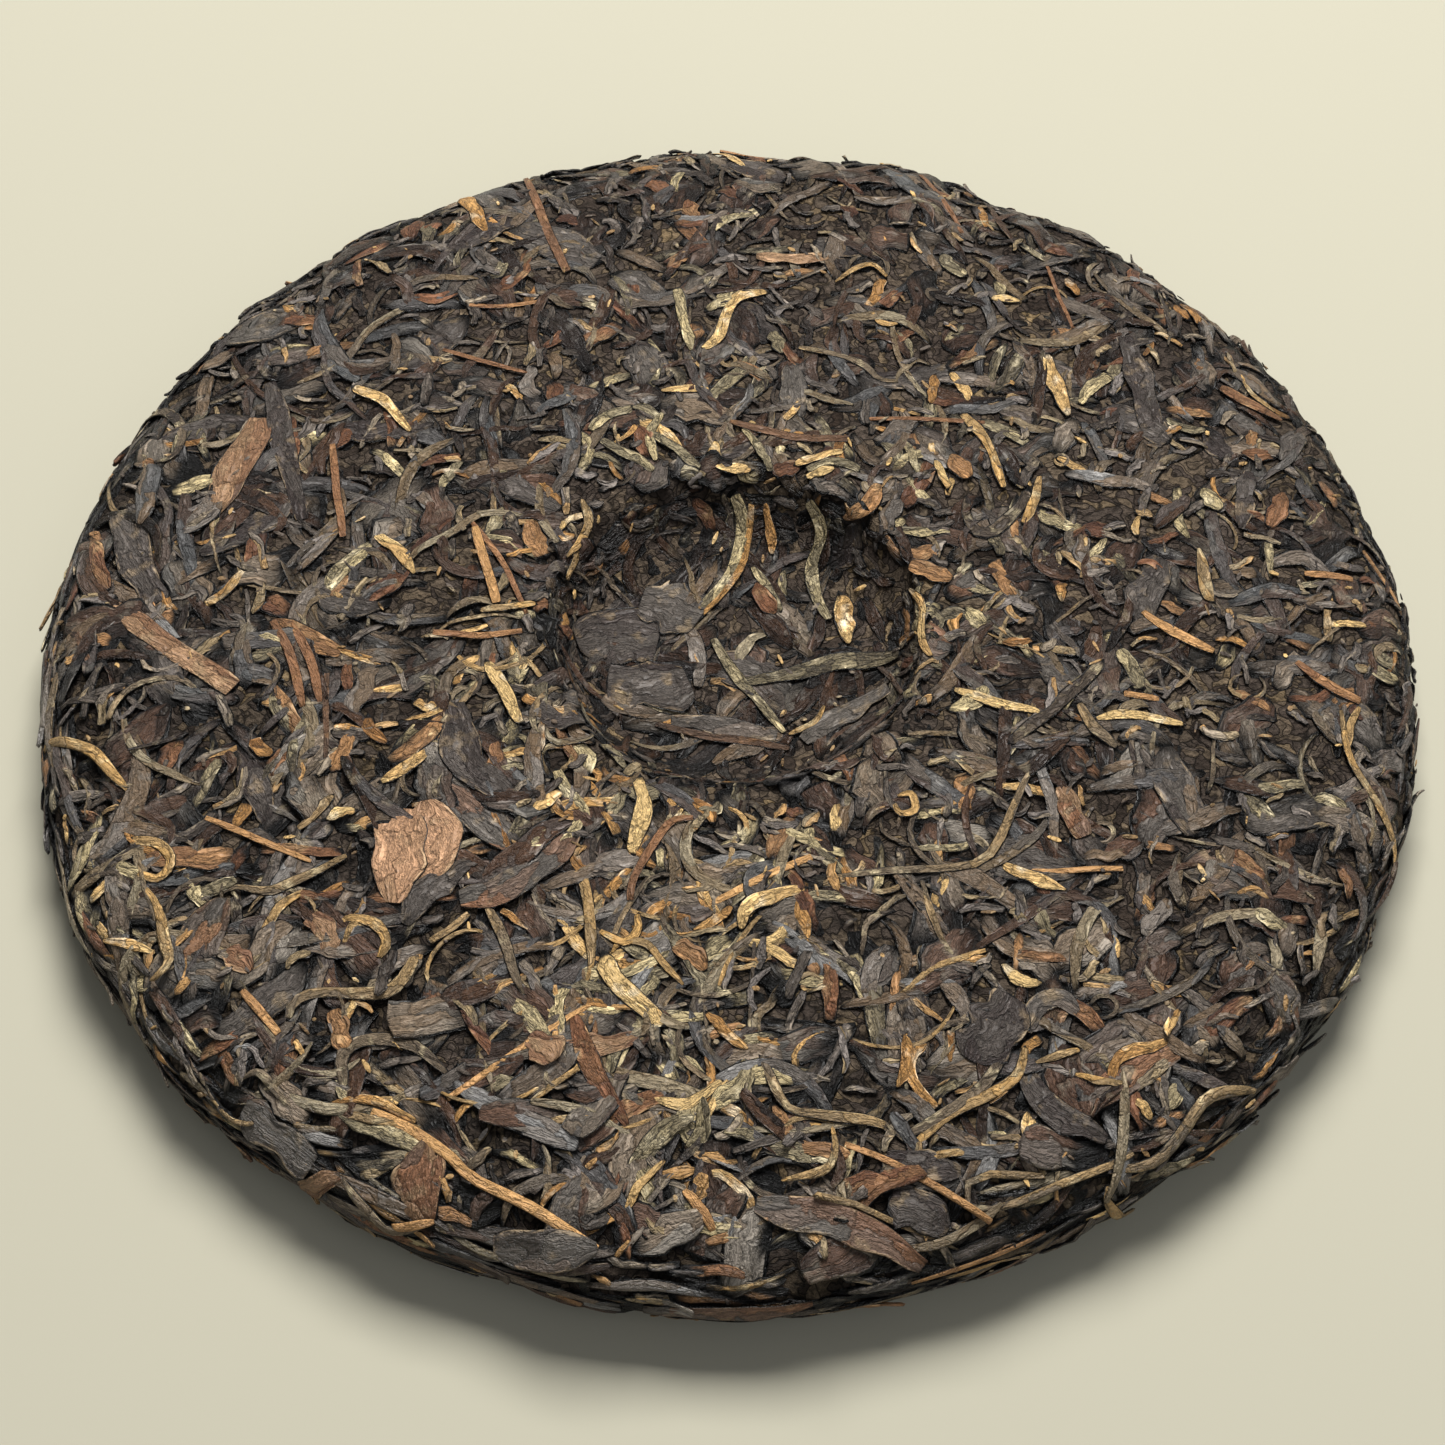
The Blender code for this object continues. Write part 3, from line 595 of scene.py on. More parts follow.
# The leaves that stand out: width in millimetres, tone, and then x and y of each pixel of the
# photograph that the leaf follows
STANDOUTS = {
    "tea_stems": (
        (1.7, 1.0, 363,1108, 407,1128, 449,1156, 474,1179, 535,1210, 605,1255), (1.1, 0.75, 202,817, 255,838,
         315,863), (1.3, 0.35, 630,904, 634,879, 656,841, 672,821, 697,818), (1.4, 0.9, 391,1226, 414,1225,
         436,1222), (1.3, 0.8, 241,990, 260,1012, 280,1035), (1.5, 0.15, 726,420, 764,430, 796,438, 853,439),
        (1.8, 0.9, 1141,610, 1161,626, 1216,653), (1.4, 0.5, 332,441, 337,490, 344,540), (1.6, 0.3, 525,177,
         545,225, 568,275), (0.9, 0.4, 440,349, 485,362, 530,374), (1.7, 0.95, 474,525, 486,565, 498,605),
        (1.5, 0.05, 651,723, 700,735, 750,742, 794,749), (1.6, 0.75, 683,1189, 700,1210, 715,1232),
        (1.6, 0.35, 272,618, 292,660, 303,710), (1.5, 0.45, 290,620, 312,665, 321,705), (1.2, 0.6, 430,632,
         480,636, 525,630), (1.7, 0.6, 1294,661, 1330,687, 1362,703), (1.3, 0.65, 1303,574, 1330,576,
         1354,580), (1.2, 0.7, 1123,694, 1142,697, 1160,700),
    ),
    "leaf_strands": (
        (2.0, 0.95, 36,757, 57,742, 90,752, 112,775, 131,793), (1.7, 0.9, 131,841, 160,845, 172,862, 158,880,
         136,873), (1.5, 0.85, 140,883, 158,905, 166,940, 172,965, 155,985), (1.5, 0.6, 213,898, 235,887,
         264,892, 283,888, 350,853), (1.5, 0.9, 261,933, 280,908, 305,890), (1.4, 0.9, 345,945, 353,924,
         372,923, 385,939, 377,959), (1.6, 0.5, 486,903, 504,939, 515,975, 525,997), (1.3, 1.0, 599,930,
         624,943, 637,930, 637,914), (1.4, 0.95, 611,955, 621,943, 646,943, 662,962, 685,987), (1.9, 0.6,
         288,1022, 293,1004, 317,993, 378,995, 399,986, 417,957), (2.2, 0.3, 342,1090, 345,1054, 371,1040,
         414,1047, 450,1076), (1.5, 0.3, 241,1079, 259,1072, 281,1097, 295,1112), (1.7, 0.4, 338,1173,
         367,1209, 392,1230, 435,1223), (1.3, 0.8, 480,610, 508,607, 536,604), (1.2, 0.9, 788,735, 815,722,
         825,705), (1.2, 0.8, 541,1131, 560,1121, 615,1121), (1.1, 0.9, 834,283, 853,270, 872,265, 888,277),
        (1.2, 0.5, 796,347, 859,363, 879,379, 901,382), (1.9, 0.9, 962,413, 986,441, 1005,489), (2.1, 0.1,
         969,495, 967,515, 980,531, 999,527, 1021,505, 1028,490), (1.7, 0.9, 1040,476, 1034,502, 1023,524),
        (1.4, 0.5, 817,878, 880,872, 950,868, 990,855, 1018,795, 1042,747), (1.7, 0.8, 1340,705, 1350,760,
         1380,810, 1394,860, 1390,908), (1.4, 0.85, 896,796, 912,794, 914,810, 900,814, 894,803), (1.6, 0.85,
         339,925, 350,918, 378,925, 389,945, 380,960), (1.9, 0.2, 120,440, 130,415, 165,412, 182,430,
         175,455, 150,463), (1.7, 0.8, 582,498, 588,528, 566,558), (1.4, 0.9, 580,545, 573,565, 567,580),
        (1.3, 0.6, 980,1141, 1002,1134, 1020,1139, 1032,1154, 1045,1168, 1040,1176, 983,1175, 968,1184,
         962,1200, 978,1211, 1015,1203, 1066,1182, 1111,1165, 1143,1146), (2.0, 0.55, 1108,1171, 1152,1162,
         1181,1133, 1206,1098, 1238,1090, 1260,1092), (1.6, 0.7, 1108,1184, 1107,1202, 1120,1215, 1136,1210),
        (2.0, 0.3, 903,1136, 939,1117, 980,1088, 1002,1057, 1005,1034), (1.8, 0.75, 913,1146, 955,1111,
         990,1095, 1018,1076, 1026,1044), (1.2, 0.95, 1074,1074, 1100,1081, 1130,1085), (1.3, 0.8, 1034,1063,
         1055,1057, 1079,1049), (1.2, 0.75, 832,1123, 835,1149, 824,1171, 779,1184), (1.6, 0.6, 760,1053,
         785,1104, 817,1114, 878,1123, 897,1139), (1.3, 0.9, 929,1158, 946,1154, 964,1152), (2.1, 0.1,
         1008,744, 1053,709, 1104,661), (2.0, 0.5, 1079,703, 1091,725, 1117,747), (1.1, 0.75, 1240,374,
         1251,393, 1276,413), (2.2, 0.65, 1198,547, 1203,572, 1209,601), (1.6, 0.9, 1359,706, 1350,728,
         1346,747), (1.6, 0.7, 583,876, 589,914, 592,959, 586,984), (1.6, 0.6, 465,1175, 478,1160, 490,1147),
        (1.3, 0.65, 335,1112, 380,1121, 423,1128),
    ),
    "golden_buds": (
        (2.2, 0.9, 767,291, 738,296, 726,312, 719,337, 703,350), (2.7, 0.75, 1045,357, 1056,381, 1069,416),
        (1.9, 0.9, 951,374, 962,388, 969,401), (1.6, 0.2, 934,376, 933,390, 932,404), (1.8, 0.9, 354,387,
         382,400, 411,432), (2.4, 0.45, 486,232, 475,212, 459,192), (1.6, 0.6, 327,1103, 371,1099, 417,1122),
        (1.2, 0.8, 295,1040, 300,1049, 306,1058), (1.1, 0.9, 389,1036, 396,1043, 403,1050), (1.9, 0.95,
         376,534, 400,552, 415,575), (2.6, 1.0, 487,662, 503,690, 520,723), (1.6, 0.3, 765,503, 770,530,
         773,554), (1.5, 0.5, 752,500, 748,540, 738,572, 712,606, 682,630), (2.6, 0.8, 843,598, 846,620,
         849,644), (1.8, 0.8, 908,588, 922,604, 922,632, 930,658), (2.4, 1.0, 640,780, 645,810, 632,853),
        (2.8, 0.85, 741,930, 745,910, 768,897, 805,889), (3.2, 1.0, 602,962, 625,990, 659,1025), (2.0, 0.6,
         708,1014, 725,1032, 747,1050), (1.9, 1.0, 651,1098, 690,1104, 722,1080), (2.0, 0.35, 905,1033,
         907,1063, 897,1088), (1.7, 0.4, 926,1041, 911,1066, 919,1092, 937,1108), (2.0, 0.9, 1004,866,
         1035,880, 1067,890), (1.6, 0.9, 708,152, 725,156, 745,168), (2.2, 0.85, 715,441, 720,465, 750,470),
        (1.5, 0.8, 102,940, 130,945, 156,953), (1.4, 0.7, 624,1214, 640,1185, 666,1159), (1.8, 1.0, 954,688,
         999,703, 1041,712), (1.8, 1.0, 1095,719, 1130,714, 1184,725), (2.0, 0.6, 1111,1079, 1120,1057,
         1168,1042), (1.7, 0.9, 1136,1098, 1144,1109, 1151,1120), (1.3, 0.2, 1165,433, 1173,430, 1181,427),
        (1.5, 0.1, 1066,279, 1072,287, 1079,295), (1.7, 1.0, 992,298, 1006,299, 1020,301), (2.0, 0.1,
         1181,304, 1191,312, 1200,323), (1.5, 0.8, 872,312, 882,323, 898,323), (1.6, 0.95, 936,461, 941,474,
         949,487), (1.6, 0.9, 796,465, 824,455, 843,452), (1.5, 1.0, 808,477, 820,472, 834,468), (2.4, 0.1,
         250,741, 260,748, 271,755), (1.8, 0.95, 328,818, 340,813, 353,810),
    ),
    "brown_leaves": (
        (2.4, 0.4, 1219,387, 1254,406, 1283,422), (3.2, 0.4, 1283,492, 1279,512, 1270,527), (2.6, 0.9,
         843,519, 866,506, 879,484), (3.0, 0.8, 910,564, 930,572, 952,579), (2.8, 0.8, 334,1010, 340,1032,
         345,1054), (3.0, 0.3, 573,1013, 592,1067, 611,1099, 630,1128), (3.2, 0.9, 950,455, 960,465,
         970,476), (3.6, 0.8, 672,945, 690,952, 706,970), (3.2, 0.3, 757,582, 764,600, 776,614), (3.0, 1.0,
         640,690, 652,690, 668,697), (3.0, 0.35, 92,540, 100,565, 108,590),
    ),
    "olive_leaves": (
        (2.1, 0.75, 1079,403, 1095,386, 1109,376), (2.1, 0.66, 733,492, 742,520, 738,556, 718,590, 690,618),
        (2.0, 0.62, 806,500, 822,528, 813,566, 818,600, 829,622), (1.7, 0.5, 752,566, 768,590, 781,612),
        (1.7, 0.6, 600,440, 630,455, 655,470), (1.5, 0.5, 640,430, 672,446, 700,470), (1.5, 0.66, 664,412,
         650,436, 655,462), (1.5, 0.5, 742,428, 762,452, 770,472), (1.8, 0.6, 860,470, 835,462, 806,470),
        (1.9, 0.5, 590,430, 610,415, 632,408), (2.6, 0.6, 941,256, 952,267, 964,275), (2.6, 0.5, 1120,649,
         1131,668, 1142,687), (2.8, 0.7, 1203,489, 1211,500, 1220,509), (2.0, 0.8, 676,288, 684,320,
         692,352), (2.4, 0.5, 1255,910, 1270,920, 1286,929), (2.8, 0.2, 739,682, 796,674, 845,662, 901,652),
        (1.7, 0.45, 712,636, 739,679, 762,705, 785,735), (2.5, 0.6, 336,1113, 385,1132, 432,1155),
    ),
    "broad_leaves": (
        (8.4, 1.0, 424,799, 431,842, 425,884), (7.4, 0.98, 407,806, 400,856, 391,906), (9.0, 0.2, 574,640,
         612,636, 660,640), (8.0, 0.3, 640,600, 668,606, 700,620), (8.0, 0.15, 690,680, 650,690, 606,686),
        (4.6, 0.55, 455,900, 503,889, 545,862, 576,828), (3.6, 0.7, 310,915, 325,930, 330,955), (3.4, 0.8,
         223,950, 238,960, 252,971), (6.0, 0.75, 258,415, 240,465, 214,518), (6.5, 0.4, 240,1108, 275,1133,
         314,1168), (5.4, 0.36, 490,1246, 545,1251, 602,1247), (2.6, 0.85, 754,256, 795,258, 831,257),
        (4.4, 0.1, 1124,334, 1136,375, 1156,430), (5.0, 0.6, 750,1201, 808,1216, 872,1235, 930,1268),
        (7.5, 0.1, 970,1062, 990,1030, 1012,995), (3.4, 0.6, 637,1310, 730,1313, 819,1305), (3.0, 0.35,
         668,720, 720,726, 780,736), (4.4, 0.7, 528,1036, 543,1048, 554,1064), (3.4, 0.4, 800,742, 840,715,
         890,684), (3.4, 0.7, 640,1035, 600,1045, 560,1050), (3.4, 0.7, 299,1190, 320,1185, 343,1175),
        (5.6, 0.15, 118,510, 135,555, 158,605), (3.8, 0.75, 112,600, 160,640, 238,690), (3.6, 0.72, 1060,785,
         1072,812, 1085,838), (4.0, 0.15, 404,927, 420,901, 442,879, 474,860), (5.5, 0.1, 512,800, 470,760,
         455,700), (4.0, 0.1, 1025,1069, 1047,1108, 1111,1139), (3.0, 0.35, 1025,1034, 1037,1009, 1057,999,
         1079,1015), (6.0, 0.1, 888,1200, 920,1213, 951,1229), (4.2, 0.1, 881,1160, 920,1168, 964,1171),
        (3.2, 0.15, 1041,1261, 1070,1240, 1098,1216), (2.6, 0.1, 1248,470, 1244,505, 1241,531), (3.6, 0.1,
         270,377, 285,450, 303,524),
    ),
}


def standouts(kind, chance):
    """The batch of one kind's leaves that stand out in the photograph, each along its own pixels."""
    rows = STANDOUTS[kind]
    facts = {**KINDS[kind], **STANDOUT_FORM, **STANDOUT_FORMS.get(kind, {})}
    curves = [along_curve(under_pixels(np.reshape(row[2:], (-1, 2))), STANDOUT_RINGS) for row in rows]
    shape = (len(rows), STANDOUT_RINGS, 3)
    place, outward = (part.reshape(shape) for part in on_skin(np.concatenate(curves)))
    along = flattened(np.gradient(place, axis=1), outward)
    width, tone = np.array([row[:2] for row in rows]).T
    width = width * MM
    sink = STANDOUT_SINK + facts.get("lower", 0.0) * MM
    sink = sink - WIDE_RISE * np.maximum(width - WIDE_FROM, 0)
    loose = looseness(place[:, STANDOUT_RINGS // 2], False)
    return leaf_batch((place, outward, along), facts, width, sink, tone, loose, chance)


def linear(code):
    """An sRGB hex colour as linear RGBA."""
    parts = [int(code[place : place + 2], 16) / 255 for place in (1, 3, 5)]
    return [c / 12.92 if c <= 0.04045 else ((c + 0.055) / 1.055) ** 2.4 for c in parts] + [1.0]


def plug(tree, made, inputs):
    """Link or set a node's sockets."""
    for socket, value in inputs.items():
        if isinstance(value, bpy.types.NodeSocket):
            tree.links.new(value, made.inputs[socket])
        else:
            made.inputs[socket].default_value = value


def node(tree, kind, inputs=(), out=0, stops=(), **settings):
    """Add a node and give its output, or all of them.

    Inputs are its sockets, stops the colours of its ramp and settings its properties. A kind that
    isn't named in full is a shader node.
    """
    made = tree.nodes.new(kind if "Node" in kind else "ShaderNode" + kind)
    for name, value in settings.items():
        setattr(made, name, value)
    plug(tree, made, dict(inputs))
    for index, (position, code) in enumerate(stops):
        elements = made.color_ramp.elements
        stop = elements[index] if index < 2 else elements.new(position)
        stop.position, stop.color = position, linear(code)
    return made.outputs if out is None else made.outputs[out]


def new_material(name):
    """A material with its Principled shader: the tree and the shader."""
    material = bpy.data.materials.new(name)
    material.use_nodes = True
    return material, material.node_tree, material.node_tree.nodes["Principled BSDF"]


# The sizes of a leaf's crinkles and mottles in metres, and the height of its wrinkles
CRINKLE_SIZE, MOTTLE_SIZE, RELIEF = 0.0007, 0.003, 0.00036
# How far apart two leaves' patterns lie in millimetres, and how much the mottles bend them
LEAF_SHIFT, PATTERN_BEND = 67.0, 1.4
# The patterns' scale along the leaf, as a share of that across it: its wrinkles and its patches
WRINKLE_STRETCH, PATCH_STRETCH = 0.3, 0.5
# How far a patch of a leaf may be from the leaf's own tone
PATCH_SHIFT = 0.35
# Shade between leaves, in millimetres of depth below the skin, and the light that is left there
SHADE_STARTS, SHADE_FULL, SHADE_LEFT = 0.08, 0.44, 0.004
LEAF_GLOSS_IOR = 1.38


def dried_leaf(name, tones, pale_tint_and_highlight, roughness, patch_mm, contrast=1.0):
    """Dry pressed leaf: each leaf and patch its own tone, wrinkles along it, and shade where deep."""
    material, tree, shader = new_material(name)
    tone, depth, edge = (
        node(tree, "Attribute", out="Fac", attribute_name=key) for key in ("tone", "depth", "edge")
    )
    strand = node(tree, "UVMap", uv_map="Strand")
    place = node(tree, "TexCoord", out="Object")
    own = node(tree, "Math", {0: tone, 1: LEAF_SHIFT}, operation="MULTIPLY")
    crinkle = node(tree, "TexNoise", {
        "Vector": place, "Scale": 1 / CRINKLE_SIZE, "Detail": 5.0, "Roughness": 0.68, "Distortion": 0.6,
    })
    mottle = node(tree, "TexNoise", {"Vector": place, "Scale": 1 / MOTTLE_SIZE, "Detail": 3.0})
    wavy = node(tree, "Math", {0: mottle, 1: PATTERN_BEND, 2: own}, operation="MULTIPLY_ADD")
    wrinkles_at, patches_at = (
        node(tree, "VectorMath", {0: strand, 1: scale, 2: wavy}, operation="MULTIPLY_ADD")
        for scale in ((WRINKLE_STRETCH, 1.0, 1.0), (PATCH_STRETCH / patch_mm, 1 / patch_mm, 1.0))
    )
    wrinkles = node(tree, "TexNoise", {
        "Vector": wrinkles_at, "Scale": 1.0, "Detail": 4.0, "Roughness": 0.62,
    })
    valley = node(tree, "Math", {0: wrinkles, 1: 0.5}, operation="SUBTRACT")
    valley = node(tree, "Math", {0: valley}, operation="ABSOLUTE")
    torn, patch = (
        node(tree, "TexVoronoi", {"Vector": patches_at, "Scale": 1.0}, out, feature=feature,
             voronoi_dimensions="2D")
        for out, feature in (("Distance", "DISTANCE_TO_EDGE"), ("Color", "F1"))
    )
    at_rim = node(tree, "Math", {0: edge, 1: wrinkles}, operation="MULTIPLY")
    # Each value's reach, and the effect at both ends of it
    ramps = {
        "shift": (patch, 0.0, 1.0, -PATCH_SHIFT * contrast, PATCH_SHIFT * contrast),
        # Lighter edges where the wrinkles rise: partly the leaf's own paler edge, partly a painted highlight
        # along it
        "rim": (at_rim, 0.44, 0.58, 0.0, 0.6),
        "blotch": (mottle, 0.57, 0.70, 0.0, 0.5),
        "streak": (wrinkles, 0.30, 0.70, 1 - 0.4 * contrast, 1 + 0.5 * contrast),
        "dust": (crinkle, 0.32, 0.68, 1 - 0.36 * contrast, 1 + 0.45 * contrast),
        # Dark lines in the wrinkles' valleys and along the patches' torn edges: painted shade in the creases
        # and cracks
        "line": (valley, 0.0, 0.03, 1 - 0.9 * contrast, 1.0),
        "crack": (torn, 0.0, 0.05, 1 - 0.75 * contrast, 1.0),
        "shade": (depth, SHADE_STARTS, SHADE_FULL, 1.0, SHADE_LEFT),
        "dull": (crinkle, 0.3, 0.7, roughness - 0.12, roughness + 0.16),
        "folds": (valley, 0.0, 0.12, 0.0, 0.9),
        "steps": (torn, 0.0, 0.12, 0.0, 0.8),
    }
    effect = {}
    for key, ramp in ramps.items():
        soft = "SMOOTHSTEP" if key == "shade" else "LINEAR"
        effect[key] = node(tree, "MapRange", dict(enumerate(ramp)), interpolation_type=soft)
    shifted = node(tree, "Math", {0: tone, 1: effect["shift"]}, use_clamp=True, operation="ADD")
    base = node(tree, "ValToRGB", {"Fac": shifted}, stops=tones)
    tinted = node(tree, "Math", {0: effect["rim"], 1: effect["blotch"]}, operation="MAXIMUM")
    mixed = node(tree, "Mix", {"Factor": tinted, "A": base, "B": linear(pale_tint_and_highlight)}, "Result",
                 data_type="RGBA")
    light = effect["streak"]
    for key in ("dust", "line", "crack", "shade"):
        light = node(tree, "Math", {0: light, 1: effect[key]}, operation="MULTIPLY")
    coloured = node(tree, "VectorMath", {0: mixed, "Scale": light}, operation="SCALE")
    relief = node(tree, "Math", {0: effect["folds"], 1: effect["steps"]}, operation="ADD")
    relief = node(tree, "Math", {0: crinkle, 1: 0.6, 2: relief}, operation="MULTIPLY_ADD")
    bump = node(tree, "Bump", {"Height": relief, "Strength": 1.0, "Distance": RELIEF})
    plug(tree, shader, {
        "Base Color": coloured, "Roughness": effect["dull"], "Normal": bump, "IOR": LEAF_GLOSS_IOR,
    })
    return material


def pressed_fragment():
    """Leaf pressed flat, old and dark: matt charcoal with a brown cast, crumpled like paper."""
    tones = [(0.0, "#2a211c"), (1.0, "#8a8277"), (0.3, "#574032"), (0.55, "#5b5853"), (0.8, "#766552")]
    return dried_leaf("pressed_dark_leaf", tones, "#807768", 0.42, 2.4, 0.62)


def charcoal_strip():
    """Old dark leaf, rolled and sun dried: charcoal with a cool grey bloom, satin where rubbed."""
    tones = [(0.0, "#1f1c1b"), (1.0, "#7e7c79"), (0.25, "#4b3628"), (0.5, "#505151"), (0.75, "#6b5843")]
    return dried_leaf("rolled_charcoal_leaf", tones, "#7d7972", 0.33, 2.6, 0.5)


def folded_strip():
    """Leaf folded along its rib and twisted: nearly black, with olive brown edges."""
    tones = [(0.0, "#1c1714"), (1.0, "#90846c"), (0.3, "#4a3629"), (0.55, "#4e4d4c"), (0.8, "#6d5c45")]
    return dried_leaf("folded_black_leaf", tones, "#8b7f68", 0.34, 2.4, 0.5)


def brown_leaf():
    """Older leaf that dried brown, some of it reddish, a little duller than the charcoal."""
    tones = [(0.0, "#4a3023"), (1.0, "#a97d51"), (0.35, "#704b33"), (0.65, "#836242")]
    return dried_leaf("dried_brown_leaf", tones, "#ae9068", 0.5, 2.4, 0.7)


def olive_leaf():
    """Younger leaf that kept an olive cast under its grey bloom."""
    tones = [(0.0, "#4e4638"), (1.0, "#b8a67b"), (0.5, "#7f745a")]
    return dried_leaf("dried_olive_leaf", tones, "#e0d2ae", 0.5, 2.2)


def golden_bud():
    """Tips and buds with their down: straw gold to tan, dull as felt."""
    tones = [(0.0, "#7e5830"), (1.0, "#d0b077"), (0.5, "#a97e48")]
    return dried_leaf("downy_golden_bud", tones, "#f4e8cc", 0.55, 2.6, 0.8)


def leaf_strand():
    """Twisted strands of leaf and stalk, from charcoal through olive to gold."""
    tones = [(0.0, "#38302b"), (1.0, "#bc9459"), (0.45, "#6d5f4c"), (0.75, "#937a54")]
    return dried_leaf("twisted_leaf_strand", tones, "#dccba2", 0.5, 2.5, 0.7)


def leaf_shred():
    """Short shreds and torn bits between the leaves: charcoal, then brown, olive and some tan."""
    tones = [(0.0, "#2b231e"), (1.0, "#ab8453"), (0.4, "#595149"), (0.65, "#78706a"), (0.85, "#89785a")]
    return dried_leaf("torn_leaf_shred", tones, "#a8987c", 0.44, 2.0, 0.85)


def tea_stem():
    """Stalks: smooth thin bark, dark brown through reddish to tan, with grooves along them."""
    tones = [(0.0, "#463a31"), (1.0, "#c59862"), (0.5, "#876042")]
    return dried_leaf("dried_tea_stem", tones, "#a0774f", 0.45, 3.0, 0.4)


def broad_leaf():
    """Broad pieces of leaf, laid flat by the press: charcoal, purple brown and leather brown."""
    tones = [(0.0, "#39312e"), (1.0, "#b48c6b"), (0.5, "#605a53"), (0.7, "#7b573f"), (0.85, "#96785a")]
    return dried_leaf("flattened_broad_leaf", tones, "#a08a6a", 0.44, 3.0, 0.6)


def leaf_crumb():
    """Crumbs and shreds on the surface: black to tan, some with cream down."""
    tones = [(0.0, "#24201d"), (1.0, "#c09e66"), (0.5, "#50463d"), (0.82, "#816541")]
    return dried_leaf("leaf_crumb", tones, "#dcc59a", 0.55, 3.0, 0.7)


# Fines between the leaves, in metres: the size of their grains, bits and sweeps, and their height
GRAIN_SIZE, BIT_SIZE, SWEEP_SIZE, FINES_RELIEF = 0.0009, 0.003, 0.006, 0.0007
# How far the sweeps and the grains bend the bits' outlines, in metres
SWEEP_BEND, GRAIN_BEND = 0.022, 0.0012
# The fines' own shade, in millimetres of depth below the skin
FINES_SHADE_STARTS, FINES_SHADE_FULL = 0.35, 1.15
FINES_ROUGHNESS, FINES_GLOSS_IOR = 0.75, 1.2


def packed_fines():
    """Fine broken leaf pressed between the larger pieces: small dark brown bits, with painted shade black
    between them.
    """
    material, tree, shader = new_material("packed_leaf_fines")
    place = node(tree, "TexCoord", out="Object")
    depth = node(tree, "Attribute", out="Fac", attribute_name="depth")
    grain = node(tree, "TexNoise", {
        "Vector": place, "Scale": 1 / GRAIN_SIZE, "Detail": 5.0, "Roughness": 0.68,
    }, None)
    sweep = node(tree, "TexNoise", {"Vector": place, "Scale": 1 / SWEEP_SIZE, "Detail": 2.0}, "Color")
    bent = place
    for bend, reach in ((sweep, SWEEP_BEND), (grain["Color"], GRAIN_BEND)):
        bent = node(tree, "VectorMath", {0: bend, 1: (reach,) * 3, 2: bent}, operation="MULTIPLY_ADD")
    crack, bit = (
        node(tree, "TexVoronoi", {"Vector": bent, "Scale": 1 / BIT_SIZE}, out, feature=feature)
        for out, feature in (("Distance", "DISTANCE_TO_EDGE"), ("Color", "F1"))
    )
    tones = [(0.0, "#372c24"), (1.0, "#a88f68"), (0.45, "#61564d"), (0.8, "#7d6d59")]
    base = node(tree, "ValToRGB", {"Fac": bit}, stops=tones)
    # The gap between the bits is painted shade: their outlines go dark, and low in the bump
    dust, gap, shade = (node(tree, "MapRange", dict(enumerate(ramp))) for ramp in (
        (grain["Fac"], 0.32, 0.68, 0.4, 1.5),
        (crack, 0.0, 0.10, 0.2, 1.0),
        (depth, FINES_SHADE_STARTS, FINES_SHADE_FULL, 1.0, SHADE_LEFT),
    ))
    relief = node(tree, "Math", {0: dust, 1: gap}, operation="MULTIPLY")
    light = node(tree, "Math", {0: relief, 1: shade}, operation="MULTIPLY")
    coloured = node(tree, "VectorMath", {0: base, "Scale": light}, operation="SCALE")
    bump = node(tree, "Bump", {"Height": relief, "Strength": 1.0, "Distance": FINES_RELIEF})
    plug(tree, shader, {
        "Base Color": coloured, "Roughness": FINES_ROUGHNESS, "Normal": bump, "IOR": FINES_GLOSS_IOR,
    })
    return material


# How deep the fines lie: where the leaf is pressed hard, and where it is loose
CORE_DEPTH = (0.0005, 0.0009)
# The core's own relief: its height and size, both in metres
CORE_RELIEF, CORE_LUMP_SIZE = 0.00035, 0.0022
CORE_ANGLES, CORE_ROWS = 280, 100


def skin_grid():
    """Points in rows round the cake, from the middle of the dimple to the middle of the base."""
    lengths = np.concatenate([[0.0], np.cumsum(PROFILE_LENGTHS)])
    wanted = np.linspace(0, lengths[-1], CORE_ROWS + 2)[1:-1]
    radius = np.interp(wanted, lengths, PROFILE[:, 0])
    height = np.interp(wanted, lengths, PROFILE[:, 1])
    angle = np.linspace(0, 2 * np.pi, CORE_ANGLES, endpoint=False)
    flat = np.stack([np.cos(angle), np.sin(angle)], axis=1)
    grid = np.concatenate([
        CENTRE + radius[:, None, None] * flat[None],
        np.repeat(height[:, None], CORE_ANGLES, axis=1)[..., None],
    ], axis=2)
    ends = np.array([[*(CENTRE + DIMPLE_SHIFT), DIMPLE_FLOOR_HEIGHT], [*CENTRE, 0.0]])
    place, outward = on_skin(np.concatenate([grid.reshape(-1, 3), ends]))
    place[-2:], outward[-2:] = ends, ((0, 0, 1), (0, 0, -1))
    return place, outward


def skin_faces():
    """The faces between those rows, with a fan round each middle: a leaf's, turned inside out."""
    corners, sizes, _, _ = leaf_faces(CORE_ROWS, CORE_ANGLES)
    faces = np.split(corners, np.cumsum(sizes)[:-1])
    return [[int(face[0]), *face[:0:-1].tolist()] for face in faces]


def skin_mesh(name, place, depth):
    """A closed mesh of the grid's points, each with its depth below the skin in millimetres."""
    mesh = bpy.data.meshes.new(name)
    mesh.from_pydata(place.tolist(), [], skin_faces())
    write_attribute(mesh, "depth", depth * 1000)
    mesh.shade_smooth()
    return mesh


def core_mesh(place, outward):
    """The core of fines under the leaves: the skin's form, sunk, with its own fine relief."""
    beyond = np.hypot(*(place[:, :2] - CENTRE).T) > SHOULDER_RADIUS
    loose = looseness(place, (outward[:, 2] < 0.7) & beyond)
    rough = np.array([noise.fractal(Vector(point), 1.0, 2.0, 3) for point in place / CORE_LUMP_SIZE])
    depth = CORE_DEPTH[0] + (CORE_DEPTH[1] - CORE_DEPTH[0]) * loose
    depth = depth - CORE_RELIEF * (0.5 + loose) * rough
    return skin_mesh("fines_core", place - outward * depth[:, None], depth)


